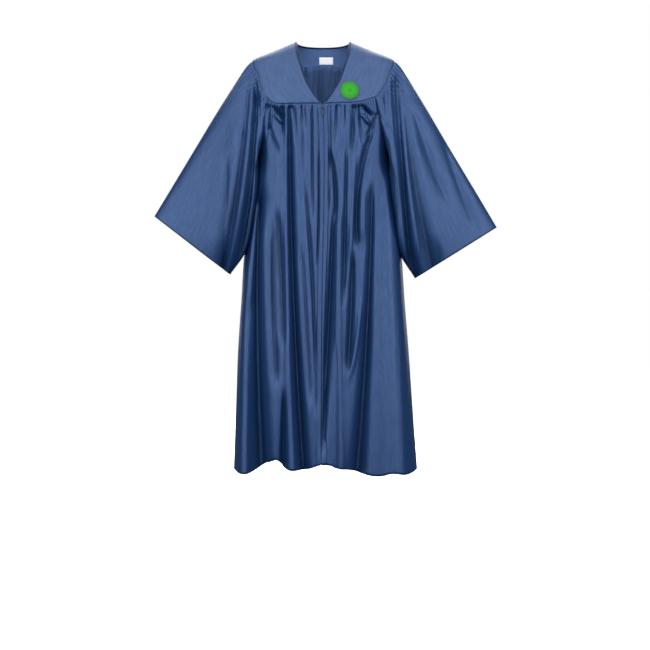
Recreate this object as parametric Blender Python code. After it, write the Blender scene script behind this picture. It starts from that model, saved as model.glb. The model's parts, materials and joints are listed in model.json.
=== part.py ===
"""Graduation gown: yoked and gathered, bell-sleeved, closed by a long zip, filled out and hollow.

Frame: metres, +Z up. The front faces -Y and the wearer's left is +X. The origin is the middle of the
neck opening at shoulder height, where the wearer holds the gown up.

Every sewn piece is a thin closed wall on one common form. A place on the trunk is given by its turn,
in degrees round from centre front towards the wearer's left, and its drop below the neck. All lengths
are in millimetres until a mesh is made.
"""

import math

import bmesh
import bpy
from mathutils import Vector

MM = 0.001

# Cloth and seams
CLOTH = 1.6
SEAM = 0.3
PROUD = 0.5

# How finely the trunk, the sleeves and the yokes are divided
FRONT_COLUMNS = 13
NECK_COLUMNS = 16
BACK_COLUMNS = 2 * FRONT_COLUMNS + NECK_COLUMNS
YOKE_ROWS = 8
ARMHOLE_ROWS = 5
SKIRT_ROWS = 10
BACK_YOKE_ROWS = 3
SLEEVE_RINGS = 10

# Neck and zip
CENTRE_GAP = 7.0
BINDING_WIDTH = 8.0
BINDING_THICK = 0.9
BINDING_RISE = 1.8
BACK_BINDING_WIDTH = 4.5
BACK_BINDING_RISE = 0.4
TAPE_WIDTH = 12.0
TAPE_THICK = 0.8
TAPE_APART = 0.4
COIL_WIDTH = 5.0
COIL_THICK = 2.2

# Slider and pull tab
SLIDER_DROP = 213.0
SLIDER_LENGTH = 11.0
SLIDER_WIDTH = 8.5
SLIDER_THICK = 2.6
BRIDGE_LENGTH = 8.0
BRIDGE_WIDTH = 2.6
BRIDGE_BAR = 1.4
BRIDGE_RISE = 4.2
PULL_LENGTH = 24.0
PULL_WIDTH = 6.5
PULL_THICK = 1.4
PULL_EYE = 3.6
PULL_HOLE = 5.2

# Label and patch
LABEL_WIDTH = 42.0
LABEL_HEIGHT = 21.0
LABEL_MIDDLE = (9.0, 31.0)
LABEL_THICK = 0.6
PATCH_RADIUS = 29.0
PATCH_MIDDLE = (75.0, 160.0)
PATCH_THICK = 1.4
PATCH_SIDES = 28

# The form: half-widths to the wearer's right and left, depth in front and behind, and how square the
# outline is (2 is an ellipse)
FORM = (
    # drop, right, left, front, back, square
    (0, 77, 77, 4, 66, 2.4),
    (10, 100, 100, 18, 73, 2.4),
    (28, 141, 142, 34, 84, 2.4),
    (57, 206, 208, 53, 98, 2.4),
    (90, 213, 216, 71, 108, 2.4),
    (140, 211, 214, 93, 116, 2.4),
    (205, 204, 207, 113, 121, 2.4),
    (270, 196, 200, 119, 122, 2.4),
    (345, 188, 193, 123, 124, 2.5),
    (470, 204, 212, 130, 129, 2.6),
    (610, 226, 226, 138, 136, 2.8),
    (750, 235, 235, 146, 144, 2.9),
    (890, 244, 246, 153, 152, 3.0),
    (1040, 249, 256, 160, 160, 3.1),
    (1240, 256, 271, 168, 170, 3.2),
)

# Middle of the front closure, and the half-width of the V neck
CENTRE_LINE = (
    # drop, x
    (200, -1),
    (300, 3),
    (460, 3),
    (780, -3),
    (1240, -5),
)
NECK_V = (
    # drop, half-width
    (0, 77),
    (6, 76),
    (40, 72),
    (80, 61),
    (127, 46),
    (165, 26),
    (200, 3.5),
)
YOKE_DROP = 200

# Paths on the front, from the outside in: across (away from the middle) and drop
YOKE_EDGE = {
    # wearer's right, wearer's left
    -1: ((206, 57), (198, 80), (187, 103), (180, 129), (173, 152), (157, 174)),
    +1: ((208, 57), (199, 80), (189, 103), (180, 129), (165, 155), (148, 175)),
}
YOKE_SEAM = {
    -1: ((157, 174), (145, 188), (130, 196), (90, 199), (0, 200)),
    +1: ((148, 175), (119, 186), (98, 193), (40, 198), (0, 200)),
}
FRONT_ARMHOLE = {
    -1: ((157, 174), (163, 220), (170, 280), (181, 322), (188, 345)),
    +1: ((148, 175), (158, 230), (172, 280), (184, 322), (193, 345)),
}
BACK_ARMHOLE = (
    # across, drop: from the end of the yoke seam to the underarm
    (172, 118),
    (164, 160),
    (162, 230),
    (170, 295),
    (190, 345),
)
BACK_YOKE_SEAM = (
    # across, drop
    (0, 46),
    (60, 54),
    (120, 78),
    (172, 118),
)
UNDERARM = 345
UNDERARM_TURN = 72.0
BELOW_NECK = 84
HEM = 1229

# The hem: its drop under each place across the front, and all round the back
FRONT_HEM = (
    # x, drop
    (-252, 1229),
    (-209, 1231),
    (-175, 1216),
    (-138, 1194),
    (-111, 1212),
    (-70, 1221),
    (-3, 1210),
    (28, 1214),
    (72, 1221),
    (106, 1231),
    (145, 1235),
    (190, 1229),
    (232, 1234),
    (266, 1229),
)
BACK_HEM = (
    # x, drop
    (-252, 1229),
    (-180, 1236),
    (-120, 1222),
    (-40, 1234),
    (30, 1224),
    (110, 1236),
    (190, 1226),
    (266, 1229),
)

# The largest folds. Each runs from a start to an end drop through three places across, with its
# half-width and its rise (out of the form, or into it below zero) at both ends.
FRONT_FOLDS = (
    # start, end, x start, x middle, x end, wide start, wide end, rise start, rise end
    (400, 1250, -178, -184, -168, 16, 26, -4, -56),
    (640, 1250, -214, -222, -224, 16, 18, 4, 26),
    (205, 1250, -84, -78, -52, 15, 16, -10, -26),
    (560, 1250, -108, -104, -111, 14, 14, -8, -18),
    (560, 1000, 82, 80, 70, 14, 14, -14, -12),
    (300, 700, 118, 100, 104, 15, 15, -12, -12),
    (430, 1250, 137, 122, 98, 16, 20, -12, -44),
    (640, 1250, 160, 172, 178, 30, 44, 6, 26),
)
BACK_FOLDS = (
    # start, end, x start, x middle, x end, wide start, wide end, rise start, rise end
    (110, 1250, -90, -120, -156, 15, 22, -10, -40),
    (80, 1250, -44, -52, -74, 14, 18, -12, -34),
    (60, 1250, -8, -2, 10, 13, 16, -12, -30),
    (70, 1250, 40, 58, 76, 14, 18, -12, -36),
    (110, 1250, 88, 118, 160, 15, 22, -10, -40),
)
FOLD_FADE = 160

# Sleeves: the outer and inner edges of the flattened tube, half its thickness, and how far its inner
# edge hangs forward of the side seam, along its length
SLEEVE = {
    -1: (
        # along, outer x, outer drop, inner x, inner drop, half-thickness, forward
        (0.00, 206, 57, 188, 345, 88, 0),
        (0.06, 224, 76, 188, 362, 86, 20),
        (0.20, 262, 136, 190, 405, 78, 60),
        (0.50, 345, 272, 201, 506, 66, 74),
        (0.80, 431, 414, 220, 610, 56, 66),
        (1.00, 487, 506, 266, 675, 50, 44),
    ),
    +1: (
        (0.00, 208, 57, 193, 345, 88, 0),
        (0.06, 226, 76, 193, 362, 86, 20),
        (0.20, 264, 138, 196, 405, 78, 60),
        (0.50, 353, 290, 206, 506, 66, 74),
        (0.80, 444, 441, 226, 612, 58, 66),
        (1.00, 502, 538, 264, 686, 52, 44),
    ),
}
SLEEVE_FOLDS = {
    -1: (
        # start, end, x start, x middle, x end, wide start, wide end, rise start, rise end
        (80, 690, -199, -203, -256, 10, 12, -20, -24),
        (90, 690, -216, -242, -286, 11, 14, -8, -12),
    ),
    +1: (
        (80, 690, 212, 224, 262, 10, 12, -20, -22),
        (110, 690, 226, 264, 318, 12, 20, -8, -14),
    ),
}
SLEEVE_CLEAR = 4.5
FLAT_TUBE = 2.6

COLOURS = {
    # material: colour, roughness, metallic
    "satin": ((0.030, 0.055, 0.150), 0.45, 0.0),
    "yoke_satin": ((0.040, 0.070, 0.180), 0.42, 0.0),
    "binding": ((0.008, 0.016, 0.050), 0.60, 0.0),
    "tape": ((0.010, 0.020, 0.060), 0.75, 0.0),
    "coil": ((0.015, 0.030, 0.080), 0.50, 0.0),
    "metal": ((0.620, 0.640, 0.670), 0.30, 1.0),
    "label": ((0.860, 0.870, 0.880), 0.60, 0.0),
    "patch": ((0.060, 0.550, 0.040), 0.70, 0.0),
}


def clear_scene():
    """Empty the scene before the gown is made."""
    for item in list(bpy.data.objects):
        bpy.data.objects.remove(item, do_unlink=True)


def ease(share):
    """Smooth step from 0 to 1."""
    share = min(max(share, 0.0), 1.0)
    return share * share * (3.0 - 2.0 * share)


def mix(low, high, share):
    """Blend two numbers or two vectors."""
    return low + (high - low) * share


def read(rows, key):
    """Read a table at key, on a smooth curve through its rows. The first column rises."""
    if key <= rows[0][0]:
        return rows[0][1:]
    if key >= rows[-1][0]:
        return rows[-1][1:]
    place = max(i for i in range(len(rows) - 1) if rows[i][0] <= key)
    low, high = rows[place], rows[place + 1]
    before = rows[max(place - 1, 0)]
    after = rows[min(place + 2, len(rows) - 1)]
    span = high[0] - low[0]
    share = (key - low[0]) / span
    values = []
    for column in range(1, len(low)):
        lead = (high[column] - before[column]) / (high[0] - before[0]) * span
        trail = (after[column] - low[column]) / (after[0] - low[0]) * span
        values.append(
            low[column] * (1 + 2 * share) * (1 - share) ** 2
            + lead * share * (1 - share) ** 2
            + high[column] * share * share * (3 - 2 * share)
            + trail * share * share * (share - 1)
        )
    return tuple(values)


def along(path, share):
    """Point at a share of the length of a path of (across, drop) points."""
    points = [Vector(point) for point in path]
    lengths = [(b - a).length for a, b in zip(points, points[1:])]
    left = share * sum(lengths)
    for start, end, length in zip(points, points[1:], lengths):
        if left <= length:
            return start.lerp(end, left / length)
        left -= length
    return points[-1]


def turn_at(x, drop):
    """Turn of the place on the front of the form that lies at x."""
    right, left, front, _, square = read(FORM, drop)
    half = left if x > 0 else right
    out = max(1.0 - (abs(x) / half) ** square, 0.0)
    return math.degrees(math.atan2(x, front * out ** (1 / square)))


def back_turn_at(x, drop):
    """Turn of the place on the back of the form that lies at x, from 90 through 180 to 270."""
    right, left, _, back, square = read(FORM, drop)
    half = left if x > 0 else right
    out = max(1.0 - (abs(x) / half) ** square, 0.0)
    return 180.0 - math.degrees(math.atan2(x, back * out ** (1 / square)))


def rise_of(folds, x, drop):
    """How far the folds lift the cloth at one place across and down."""
    total = 0.0
    for start, end, x_start, x_middle, x_end, wide_start, wide_end, rise_start, rise_end in folds:
        if drop <= start or drop >= end:
            continue
        share = (drop - start) / (end - start)
        first = mix(x_start, x_middle, 2 * share)
        second = mix(x_middle, x_end, 2 * share - 1)
        middle = mix(first, second, ease(share))
        wide = mix(wide_start, wide_end, share)
        fade = ease((drop - start) / FOLD_FADE)
        total += mix(rise_start, rise_end, share) * fade * math.exp(-(((x - middle) / wide) ** 2))
    return total


def trunk(turn, drop):
    """Point of the draped trunk at a turn and a drop."""
    right, left, front, back, square = read(FORM, drop)
    side = math.sin(math.radians(turn))
    depth = -math.cos(math.radians(turn))
    half = left if side > 0 else right
    deep = back if depth > 0 else front
    reach = ((abs(side) / half) ** square + (abs(depth) / deep) ** square) ** (-1 / square)
    point = Vector((side * reach, depth * reach, -drop))
    folds = BACK_FOLDS if depth > 0 else FRONT_FOLDS
    window = ease((1.0 - abs(point.x) / half) / 0.07)
    lift = rise_of(folds, point.x, drop) * window
    point.y += lift if depth > 0 else -lift
    return point


def hem_drop(turn):
    """Drop of the hem at a turn."""
    x = trunk(turn, HEM).x
    behind = math.cos(math.radians(turn)) < 0
    return read(BACK_HEM if behind else FRONT_HEM, x)[0]


def coons(bottom, top, first, last, u, v):
    """Blend of four edge curves. bottom and top run with u, first and last run with v."""
    edges = mix(bottom(u), top(u), v) + mix(first(v), last(v), u)
    corners = mix(mix(bottom(0), bottom(1), u), mix(top(0), top(1), u), v)
    return edges - corners


def front_place(x, drop):
    """Turn and drop of a place on the front."""
    return Vector((turn_at(x, drop), drop))


def seam_place(side, u):
    """Turn and drop on the seam under a front yoke, from the zip outwards."""
    across, drop = along(YOKE_SEAM[side], 1 - u)
    to_zip = read(CENTRE_LINE, drop)[0] + CENTRE_GAP / 2 * side
    return front_place(across * side + to_zip * (1 - u), drop)


def front_yoke_grid(side):
    """Rows of points of one front yoke, from the shoulder seam down, each from the neck outwards."""
    def shoulder(u):
        return Vector((90.0 * side, mix(0, YOKE_EDGE[side][0][1], u)))

    def seam(u):
        return seam_place(side, u)

    def neck(v):
        drop = YOKE_DROP * v ** 1.35
        half = read(NECK_V, drop)[0]
        lean = read(CENTRE_LINE, drop)[0] * drop / YOKE_DROP
        return front_place(half * side + lean, drop) if v > 0 else Vector((90.0 * side, 0))

    def edge(v):
        across, drop = along(YOKE_EDGE[side], v)
        return front_place(across * side, drop) if v > 0 else Vector((90.0 * side, drop))

    rows = []
    for row in range(YOKE_ROWS + 1):
        v = row / YOKE_ROWS
        places = [coons(shoulder, seam, neck, edge, i / FRONT_COLUMNS, v) for i in range(FRONT_COLUMNS + 1)]
        rows.append([trunk(*place) for place in places])
    return rows


def front_grid(side):
    """Rows of points of one front, from the yoke seam down, each from the zip outwards."""
    def seam(u):
        return seam_place(side, u)

    def zip_edge(drop):
        return read(CENTRE_LINE, drop)[0] + CENTRE_GAP / 2 * side

    def level(u):
        start = turn_at(zip_edge(UNDERARM), UNDERARM)
        return Vector((mix(start, UNDERARM_TURN * side, u), UNDERARM))

    def centre(v):
        drop = mix(YOKE_DROP, UNDERARM, v)
        return front_place(zip_edge(drop), drop)

    def armhole(v):
        across, drop = along(FRONT_ARMHOLE[side], v)
        return front_place(across * side, drop) if v < 1 else level(1)

    rows = []
    for row in range(ARMHOLE_ROWS):
        v = row / ARMHOLE_ROWS
        places = [coons(seam, level, centre, armhole, i / FRONT_COLUMNS, v) for i in range(FRONT_COLUMNS + 1)]
        rows.append([trunk(*place) for place in places])
    for row in range(SKIRT_ROWS + 1):
        v = row / SKIRT_ROWS
        points = []
        rough = mix(UNDERARM, HEM, v)
        start = turn_at(zip_edge(rough), rough)
        held = mix(UNDERARM_TURN, 90.0, ease(2 * v)) * side
        for i in range(FRONT_COLUMNS + 1):
            turn = mix(start, held, i / FRONT_COLUMNS) if i < FRONT_COLUMNS else 90.0 * side
            points.append(trunk(turn, mix(UNDERARM, hem_drop(turn), v)))
        rows.append(points)
    return rows


def back_seam_place(u):
    """Turn and drop on the back yoke seam, from the wearer's left (u 0) to the right (u 1)."""
    column = u * BACK_COLUMNS
    near = min(column, BACK_COLUMNS - column)
    if near < FRONT_COLUMNS:
        x = mix(BACK_YOKE_SEAM[-1][0], BELOW_NECK, near / FRONT_COLUMNS)
        x = x if near == column else -x
    else:
        x = BELOW_NECK * (1 - 2 * (column - FRONT_COLUMNS) / NECK_COLUMNS)
    drop = read(BACK_YOKE_SEAM, abs(x))[0]
    return Vector((back_turn_at(x, drop), drop))


def back_yoke_grid():
    """Rows of points of the back yoke, from its top edge down, each from the wearer's left."""
    tip = YOKE_EDGE[1][0][1]
    rows = []
    for row in range(BACK_YOKE_ROWS + 1):
        v = row / BACK_YOKE_ROWS
        points = []
        for i in range(BACK_COLUMNS + 1):
            near = min(i, BACK_COLUMNS - i)
            if near < FRONT_COLUMNS:
                turn = 90.0 if i == near else 270.0
                top = Vector((turn, tip * (1 - near / FRONT_COLUMNS)))
            else:
                top = Vector((mix(90.0, 270.0, (i - FRONT_COLUMNS) / NECK_COLUMNS), 0))
            points.append(trunk(*mix(top, back_seam_place(i / BACK_COLUMNS), v)))
        rows.append(points)
    return rows


def back_grid():
    """Rows of points of the back, from the yoke seam down, each from the wearer's left."""
    def level(u):
        return Vector((180.0 + mix(-UNDERARM_TURN, UNDERARM_TURN, u), UNDERARM))

    def armhole(v, side):
        if v == 1:
            return Vector((180.0 - UNDERARM_TURN * side, UNDERARM))
        across, drop = along(BACK_ARMHOLE, v)
        return Vector((back_turn_at(across * side, drop), drop))

    rows = []
    for row in range(ARMHOLE_ROWS):
        v = row / ARMHOLE_ROWS
        places = [
            coons(back_seam_place, level, lambda s: armhole(s, 1), lambda s: armhole(s, -1), i / BACK_COLUMNS, v)
            for i in range(BACK_COLUMNS + 1)
        ]
        rows.append([trunk(*place) for place in places])
    for row in range(SKIRT_ROWS + 1):
        v = row / SKIRT_ROWS
        held = mix(UNDERARM_TURN, 90.0, ease(2 * v))
        turns = [180.0 + mix(-held, held, i / BACK_COLUMNS) for i in range(1, BACK_COLUMNS)]
        turns = [90.0, *turns, 270.0]
        rows.append([trunk(turn, mix(UNDERARM, hem_drop(turn), v)) for turn in turns])
    return rows


def armhole_loop(side, yoke, front, back_yoke, back):
    """The armhole's points: shoulder tip, down the front to the underarm and up the back."""
    column = 0 if side > 0 else -1
    loop = [row[-1] for row in yoke]
    loop += [row[-1] for row in front[1:ARMHOLE_ROWS + 1]]
    behind = [row[column] for row in back_yoke[1:]]
    behind += [row[column] for row in back[1:ARMHOLE_ROWS]]
    return loop + behind[::-1], len(yoke) + ARMHOLE_ROWS - 1


def trunk_reach(y, drop, side):
    """Half-width of the undraped trunk at a depth, as far as it is closed below the underarm."""
    right, left, front, back, square = read(FORM, drop)
    deep = back if y > 0 else front
    out = max(1.0 - (abs(y) / deep) ** square, 0.0)
    return (left if side > 0 else right) * out ** (1 / square)


def sleeve_grid(side, loop, underarm):
    """Rings of points of one sleeve, from the armhole to the cuff."""
    count = len(loop)
    tip, low = loop[0], loop[underarm]
    chord = Vector((tip.x - low.x, tip.z - low.z))
    middle = Vector((tip.x + low.x, tip.z + low.z)) / 2
    square_to = Vector((chord.y, -chord.x)).normalized()
    steps = [(loop[(i + 1) % count] - loop[i]).length for i in range(count)]
    front_length, back_length = sum(steps[:underarm]), sum(steps[underarm:])
    rings = [list(loop)]
    for ring in range(1, SLEEVE_RINGS + 1):
        share = (ring / SLEEVE_RINGS) ** 1.15
        out_x, out_drop, in_x, in_drop, thick, forward = read(SLEEVE[side], share)
        outer, inner = Vector((out_x * side, -out_drop)), Vector((in_x * side, -in_drop))
        blend = ease(share / 0.5)
        points = []
        travelled = 0.0
        for i in range(count):
            if i <= underarm:
                round_share = 0.5 * travelled / front_length
            else:
                round_share = 0.5 + 0.5 * (travelled - front_length) / back_length
            travelled += steps[i]
            flat = Vector((loop[i].x, loop[i].z)) - middle
            own = 2 * flat.dot(chord) / chord.length_squared
            aside = flat.dot(square_to) * (1 - ease(share / 0.35))
            level = mix(own, math.cos(2 * math.pi * round_share), blend)
            oval = thick * max(1 - abs(level) ** FLAT_TUBE, 0) ** (1 / FLAT_TUBE)
            front_side = i <= underarm
            depth = mix(loop[i].y, -oval if front_side else oval, blend)
            depth -= forward * ease((1 - level) / 2)
            run = (outer - inner) / 2
            place = (outer + inner) / 2 + run * level
            across = Vector((run.y, -run.x)).normalized() * aside
            place += across
            lift = rise_of(SLEEVE_FOLDS[side], place.x, -place.y) if front_side else 0.0
            lift *= ease(share / 0.08) * (1 - abs(level) ** 6)
            point = Vector((place.x, depth - lift, place.y))
            clear = SLEEVE_CLEAR * ease(share / 0.05)
            if -point.z > UNDERARM - 30:
                least = trunk_reach(point.y, -point.z, side) + clear
                point.x = side * max(abs(point.x), least)
            points.append(point)
        rings.append(points)
    return rings


class Panel:
    """A sewn piece: rows of middle points, with the direction its cloth faces at each point."""

    def __init__(self, name, material, rows, ring=False):
        self.name = name
        self.material = material
        self.rows = rows
        self.ring = ring
        self.normals = [[self.facing(i, j) for j in range(len(rows[0]))] for i in range(len(rows))]
        if sum(self.outwardness(i) for i in range(len(rows))) < 0:
            self.normals = [[-normal for normal in row] for row in self.normals]

    def neighbour(self, i, j):
        """Point at a row and column, kept inside the piece or carried round a ring."""
        i = min(max(i, 0), len(self.rows) - 1)
        count = len(self.rows[0])
        j = j % count if self.ring else min(max(j, 0), count - 1)
        return self.rows[i][j]

    def facing(self, i, j):
        """Unit normal from the points above, below, before and after."""
        down = self.neighbour(i + 1, j) - self.neighbour(i - 1, j)
        sideways = self.neighbour(i, j + 1) - self.neighbour(i, j - 1)
        return down.cross(sideways).normalized()

    def outwardness(self, i):
        """How far the normals of a row point away from the trunk's or the sleeve's middle."""
        row = self.rows[i]
        middle = sum(row, Vector()) / len(row) if self.ring else Vector((0, 0, row[0].z))
        return sum((point - middle).dot(normal) for point, normal in zip(row, self.normals[i]))

    def seam_places(self):
        """Rows and columns of the points on the piece's edges."""
        last_row, last_column = len(self.rows) - 1, len(self.rows[0]) - 1
        for i in range(last_row + 1):
            for j in range(last_column + 1):
                if i in (0, last_row) or (not self.ring and j in (0, last_column)):
                    yield i, j

    def inward(self, i, j):
        """Unit direction from a point on the edge into the piece."""
        last_row, last_column = len(self.rows) - 1, len(self.rows[0]) - 1
        here = self.rows[i][j]
        direction = Vector()
        if i in (0, last_row):
            direction += (self.rows[1 if i == 0 else i - 1][j] - here).normalized()
        if not self.ring and j in (0, last_column):
            direction += (self.rows[i][1 if j == 0 else j - 1] - here).normalized()
        return direction.normalized()


def join_seams(panels):
    """Mitre the pieces where their edges meet, and leave the seam's gap between them."""
    meetings = {}
    for panel in panels:
        for i, j in panel.seam_places():
            point = panel.rows[i][j]
            key = tuple(round(value, 2) for value in point)
            meetings.setdefault(key, []).append((panel, i, j, panel.inward(i, j)))
    for members in meetings.values():
        if len(members) < 2:
            continue
        shared = sum((panel.normals[i][j] for panel, i, j, _ in members), Vector())
        if shared.length < 0.2:
            shared = sum((inward for *_, inward in members), Vector())
        shared.normalize()
        for panel, i, j, inward in members:
            others = [other for *_, other in members if other is not inward]
            apart = inward - sum(others, Vector()) / len(others)
            apart -= shared * apart.dot(shared)
            if apart.length < 0.2:
                apart = inward
            panel.normals[i][j] = shared
            panel.rows[i][j] = panel.rows[i][j] + apart.normalized() * SEAM * 0.6


def make_material(name):
    """Principled material of one of the gown's finishes."""
    colour, roughness, metallic = COLOURS[name]
    material = bpy.data.materials.get(name) or bpy.data.materials.new(name)
    material.use_nodes = True
    shader = material.node_tree.nodes["Principled BSDF"]
    shader.inputs["Base Color"].default_value = (*colour, 1.0)
    shader.inputs["Roughness"].default_value = roughness
    shader.inputs["Metallic"].default_value = metallic
    material.diffuse_color = (*colour, 1.0)
    return material


def make_object(name, material, points, faces, origin=Vector(), smooth=40.0):
    """Object of points in millimetres, with its origin at a place in the gown's frame."""
    mesh = bpy.data.meshes.new(name)
    mesh.from_pydata([tuple((point - origin) * MM) for point in points], [], faces)
    mesh.update()
    mesh.materials.append(make_material(material))
    mesh.shade_smooth()
    mesh.set_sharp_from_angle(angle=math.radians(smooth))
    item = bpy.data.objects.new(name, mesh)
    item.location = origin * MM
    bpy.context.collection.objects.link(item)
    return item


def make_wall(name, material, outer, inner, ring=False):
    """Closed wall between two grids of points. outer faces away from inner."""
    rows, columns = len(outer), len(outer[0])
    size = rows * columns
    points = [point for row in outer for point in row] + [point for row in inner for point in row]
    spans = columns if ring else columns - 1
    faces = []
    for i in range(rows - 1):
        for j in range(spans):
            k = (j + 1) % columns
            a, b, c, d = i * columns + j, i * columns + k, (i + 1) * columns + k, (i + 1) * columns + j
            faces.append((a, d, c, b))
            faces.append((a + size, b + size, c + size, d + size))
    for j in range(spans):
        k = (j + 1) % columns
        faces.append((j, k, k + size, j + size))
        low = (rows - 1) * columns
        faces.append((low + k, low + j, low + j + size, low + k + size))
    if not ring:
        for i in range(rows - 1):
            a, b = i * columns, (i + 1) * columns
            faces.append((b, a, a + size, b + size))
            a, b = a + columns - 1, b + columns - 1
            faces.append((a, b, b + size, a + size))
    return make_object(name, material, points, faces)


def make_cloth(panel):
    """The wall of a sewn piece, half its thickness to each side of its middle points."""
    half = CLOTH / 2
    pairs = [list(zip(row, normals)) for row, normals in zip(panel.rows, panel.normals)]
    outer = [[point + normal * half for point, normal in row] for row in pairs]
    inner = [[point - normal * half for point, normal in row] for row in pairs]
    return make_wall(panel.name, panel.material, outer, inner, panel.ring)


def make_strip(name, material, stations, near, far):
    """Closed strip through stations of (point, normal) pairs, from near to far off the cloth."""
    outer = [[point + normal * far for point, normal in station] for station in stations]
    inner = [[point + normal * near for point, normal in station] for station in stations]
    return make_wall(name, material, outer, inner)


def inside_edge(panel, i, distance):
    """Point and normal at a distance from the first column of a row, towards the second."""
    edge, second = panel.rows[i][0], panel.rows[i][1]
    share = distance / (second - edge).length
    return edge.lerp(second, share), panel.normals[i][0].lerp(panel.normals[i][1], share).normalized()


def binding_rise(steps):
    """Extra height of the binding near the shoulder seam, where the cloth under it twists."""
    return max(BINDING_RISE * (1 - steps / 3), BACK_BINDING_RISE)


def make_binding(yokes, back_yoke):
    """Narrow band over the neck edges of the three yokes, from one end of the V to the other."""
    right, left = [], []
    for stations, yoke in ((right, yokes[-1]), (left, yokes[1])):
        for i in range(1, YOKE_ROWS + 1):
            rise = binding_rise(i) if i < 3 else 0.0
            pair = [(yoke.rows[i][0], yoke.normals[i][0]), inside_edge(yoke, i, BINDING_WIDTH)]
            stations.append([(point + normal * rise, normal) for point, normal in pair])
    behind = []
    first, last = FRONT_COLUMNS, BACK_COLUMNS - FRONT_COLUMNS
    for j in range(last, first - 1, -1):
        edge, normal = back_yoke.rows[0][j], back_yoke.normals[0][j]
        steps = min(j - first, last - j)
        direction = (back_yoke.rows[1][j] - edge).normalized()
        if steps == 0:
            direction += (back_yoke.rows[0][j + (1 if j == last else -1)] - edge).normalized()
        edge = edge + normal * binding_rise(steps)
        wide = mix(BINDING_WIDTH, BACK_BINDING_WIDTH, ease(steps / 3))
        behind.append([(edge, normal), (edge + direction.normalized() * wide, normal)])
    near = CLOTH / 2 + PROUD
    make_strip("neck_binding", "binding", right[::-1] + behind + left, near, near + BINDING_THICK)


def make_zip(fronts):
    """Tapes behind the edges of the fronts and the coil between them. Returns the line down its middle."""
    line = []
    for i in range(len(fronts[1].rows)):
        right, left = fronts[-1].rows[i][0], fronts[1].rows[i][0]
        across = (left - right).normalized()
        normal = fronts[-1].normals[i][0] + fronts[1].normals[i][0]
        normal = (normal - across * normal.dot(across)).normalized()
        line.append(((left + right) / 2, across, normal))
    behind = CLOTH / 2 + PROUD
    for side, name in ((-1, "zip_tape_right"), (1, "zip_tape_left")):
        stations = []
        for i, (middle, across, normal) in enumerate(line):
            edge = fronts[side].rows[i][0]
            under = inside_edge(fronts[side], i, TAPE_WIDTH - CENTRE_GAP / 2)
            stations.append([(middle + across * side * TAPE_APART, normal), (edge, normal), under])
        make_strip(name, "tape", stations, -behind - TAPE_THICK, -behind)
    back = PROUD - behind
    half = COIL_WIDTH / 2
    coil = [[(middle - across * half, normal), (middle + across * half, normal)] for middle, across, normal in line]
    make_strip("zip_coil", "coil", coil, back, back + COIL_THICK)
    return line, back + COIL_THICK


def make_block(name, material, corners_low, corners_high):
    """Closed block between two outlines with the same number of points."""
    count = len(corners_low)
    points = corners_low + corners_high
    faces = [tuple(range(count - 1, -1, -1)), tuple(range(count, 2 * count))]
    for i in range(count):
        k = (i + 1) % count
        faces.append((i, k, k + count, i + count))
    return make_object(name, material, points, faces)


class Spot:
    """A small frame on the cloth: across, out of it and down along it, about a middle point."""

    def __init__(self, middle, out):
        self.middle = middle
        self.across = Vector((1, 0, 0))
        self.out = (out - self.across * out.dot(self.across)).normalized()
        self.down = self.across.cross(self.out).normalized()
        if self.down.z > 0:
            self.down.negate()

    def at(self, across, out, down):
        """Point at distances across, out and down."""
        return self.middle + self.across * across + self.out * out + self.down * down


def unite(item, other):
    """Join another closed solid into an object."""
    joint = item.modifiers.new("join_" + other.name, "BOOLEAN")
    joint.operation = "UNION"
    joint.solver = "EXACT"
    joint.object = other
    other.hide_render = True
    other.display_type = "WIRE"


def make_slider(spot, base):
    """Slider on the coil's face, with the arched bridge that holds the pull tab."""
    half_long, half_wide, waist = SLIDER_LENGTH / 2, SLIDER_WIDTH / 2, SLIDER_WIDTH * 0.36
    outline = [(-waist, -half_long), (waist, -half_long), (half_wide, -half_long * 0.4), (half_wide, half_long * 0.5)]
    outline += [(waist, half_long), (-waist, half_long), (-half_wide, half_long * 0.5), (-half_wide, -half_long * 0.4)]
    top = base + SLIDER_THICK
    low = [spot.at(x, base, down) for x, down in outline]
    high = [spot.at(x, top, down) for x, down in outline]
    body = make_block("zip_slider", "metal", low, high)
    half, bar, foot = BRIDGE_LENGTH / 2, BRIDGE_BAR, 0.5
    arch = [(-half, -foot), (-half, BRIDGE_RISE), (half, BRIDGE_RISE), (half, -foot)]
    arch += [(half - bar, -foot), (half - bar, BRIDGE_RISE - bar), (bar - half, BRIDGE_RISE - bar), (bar - half, -foot)]
    sides = []
    for x in (-BRIDGE_WIDTH / 2, BRIDGE_WIDTH / 2):
        sides.append([spot.at(x, top + out, down) for down, out in arch])
    bridge = make_block("bridge_guide", "metal", sides[0], sides[1])
    unite(body, bridge)
    return top


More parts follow.
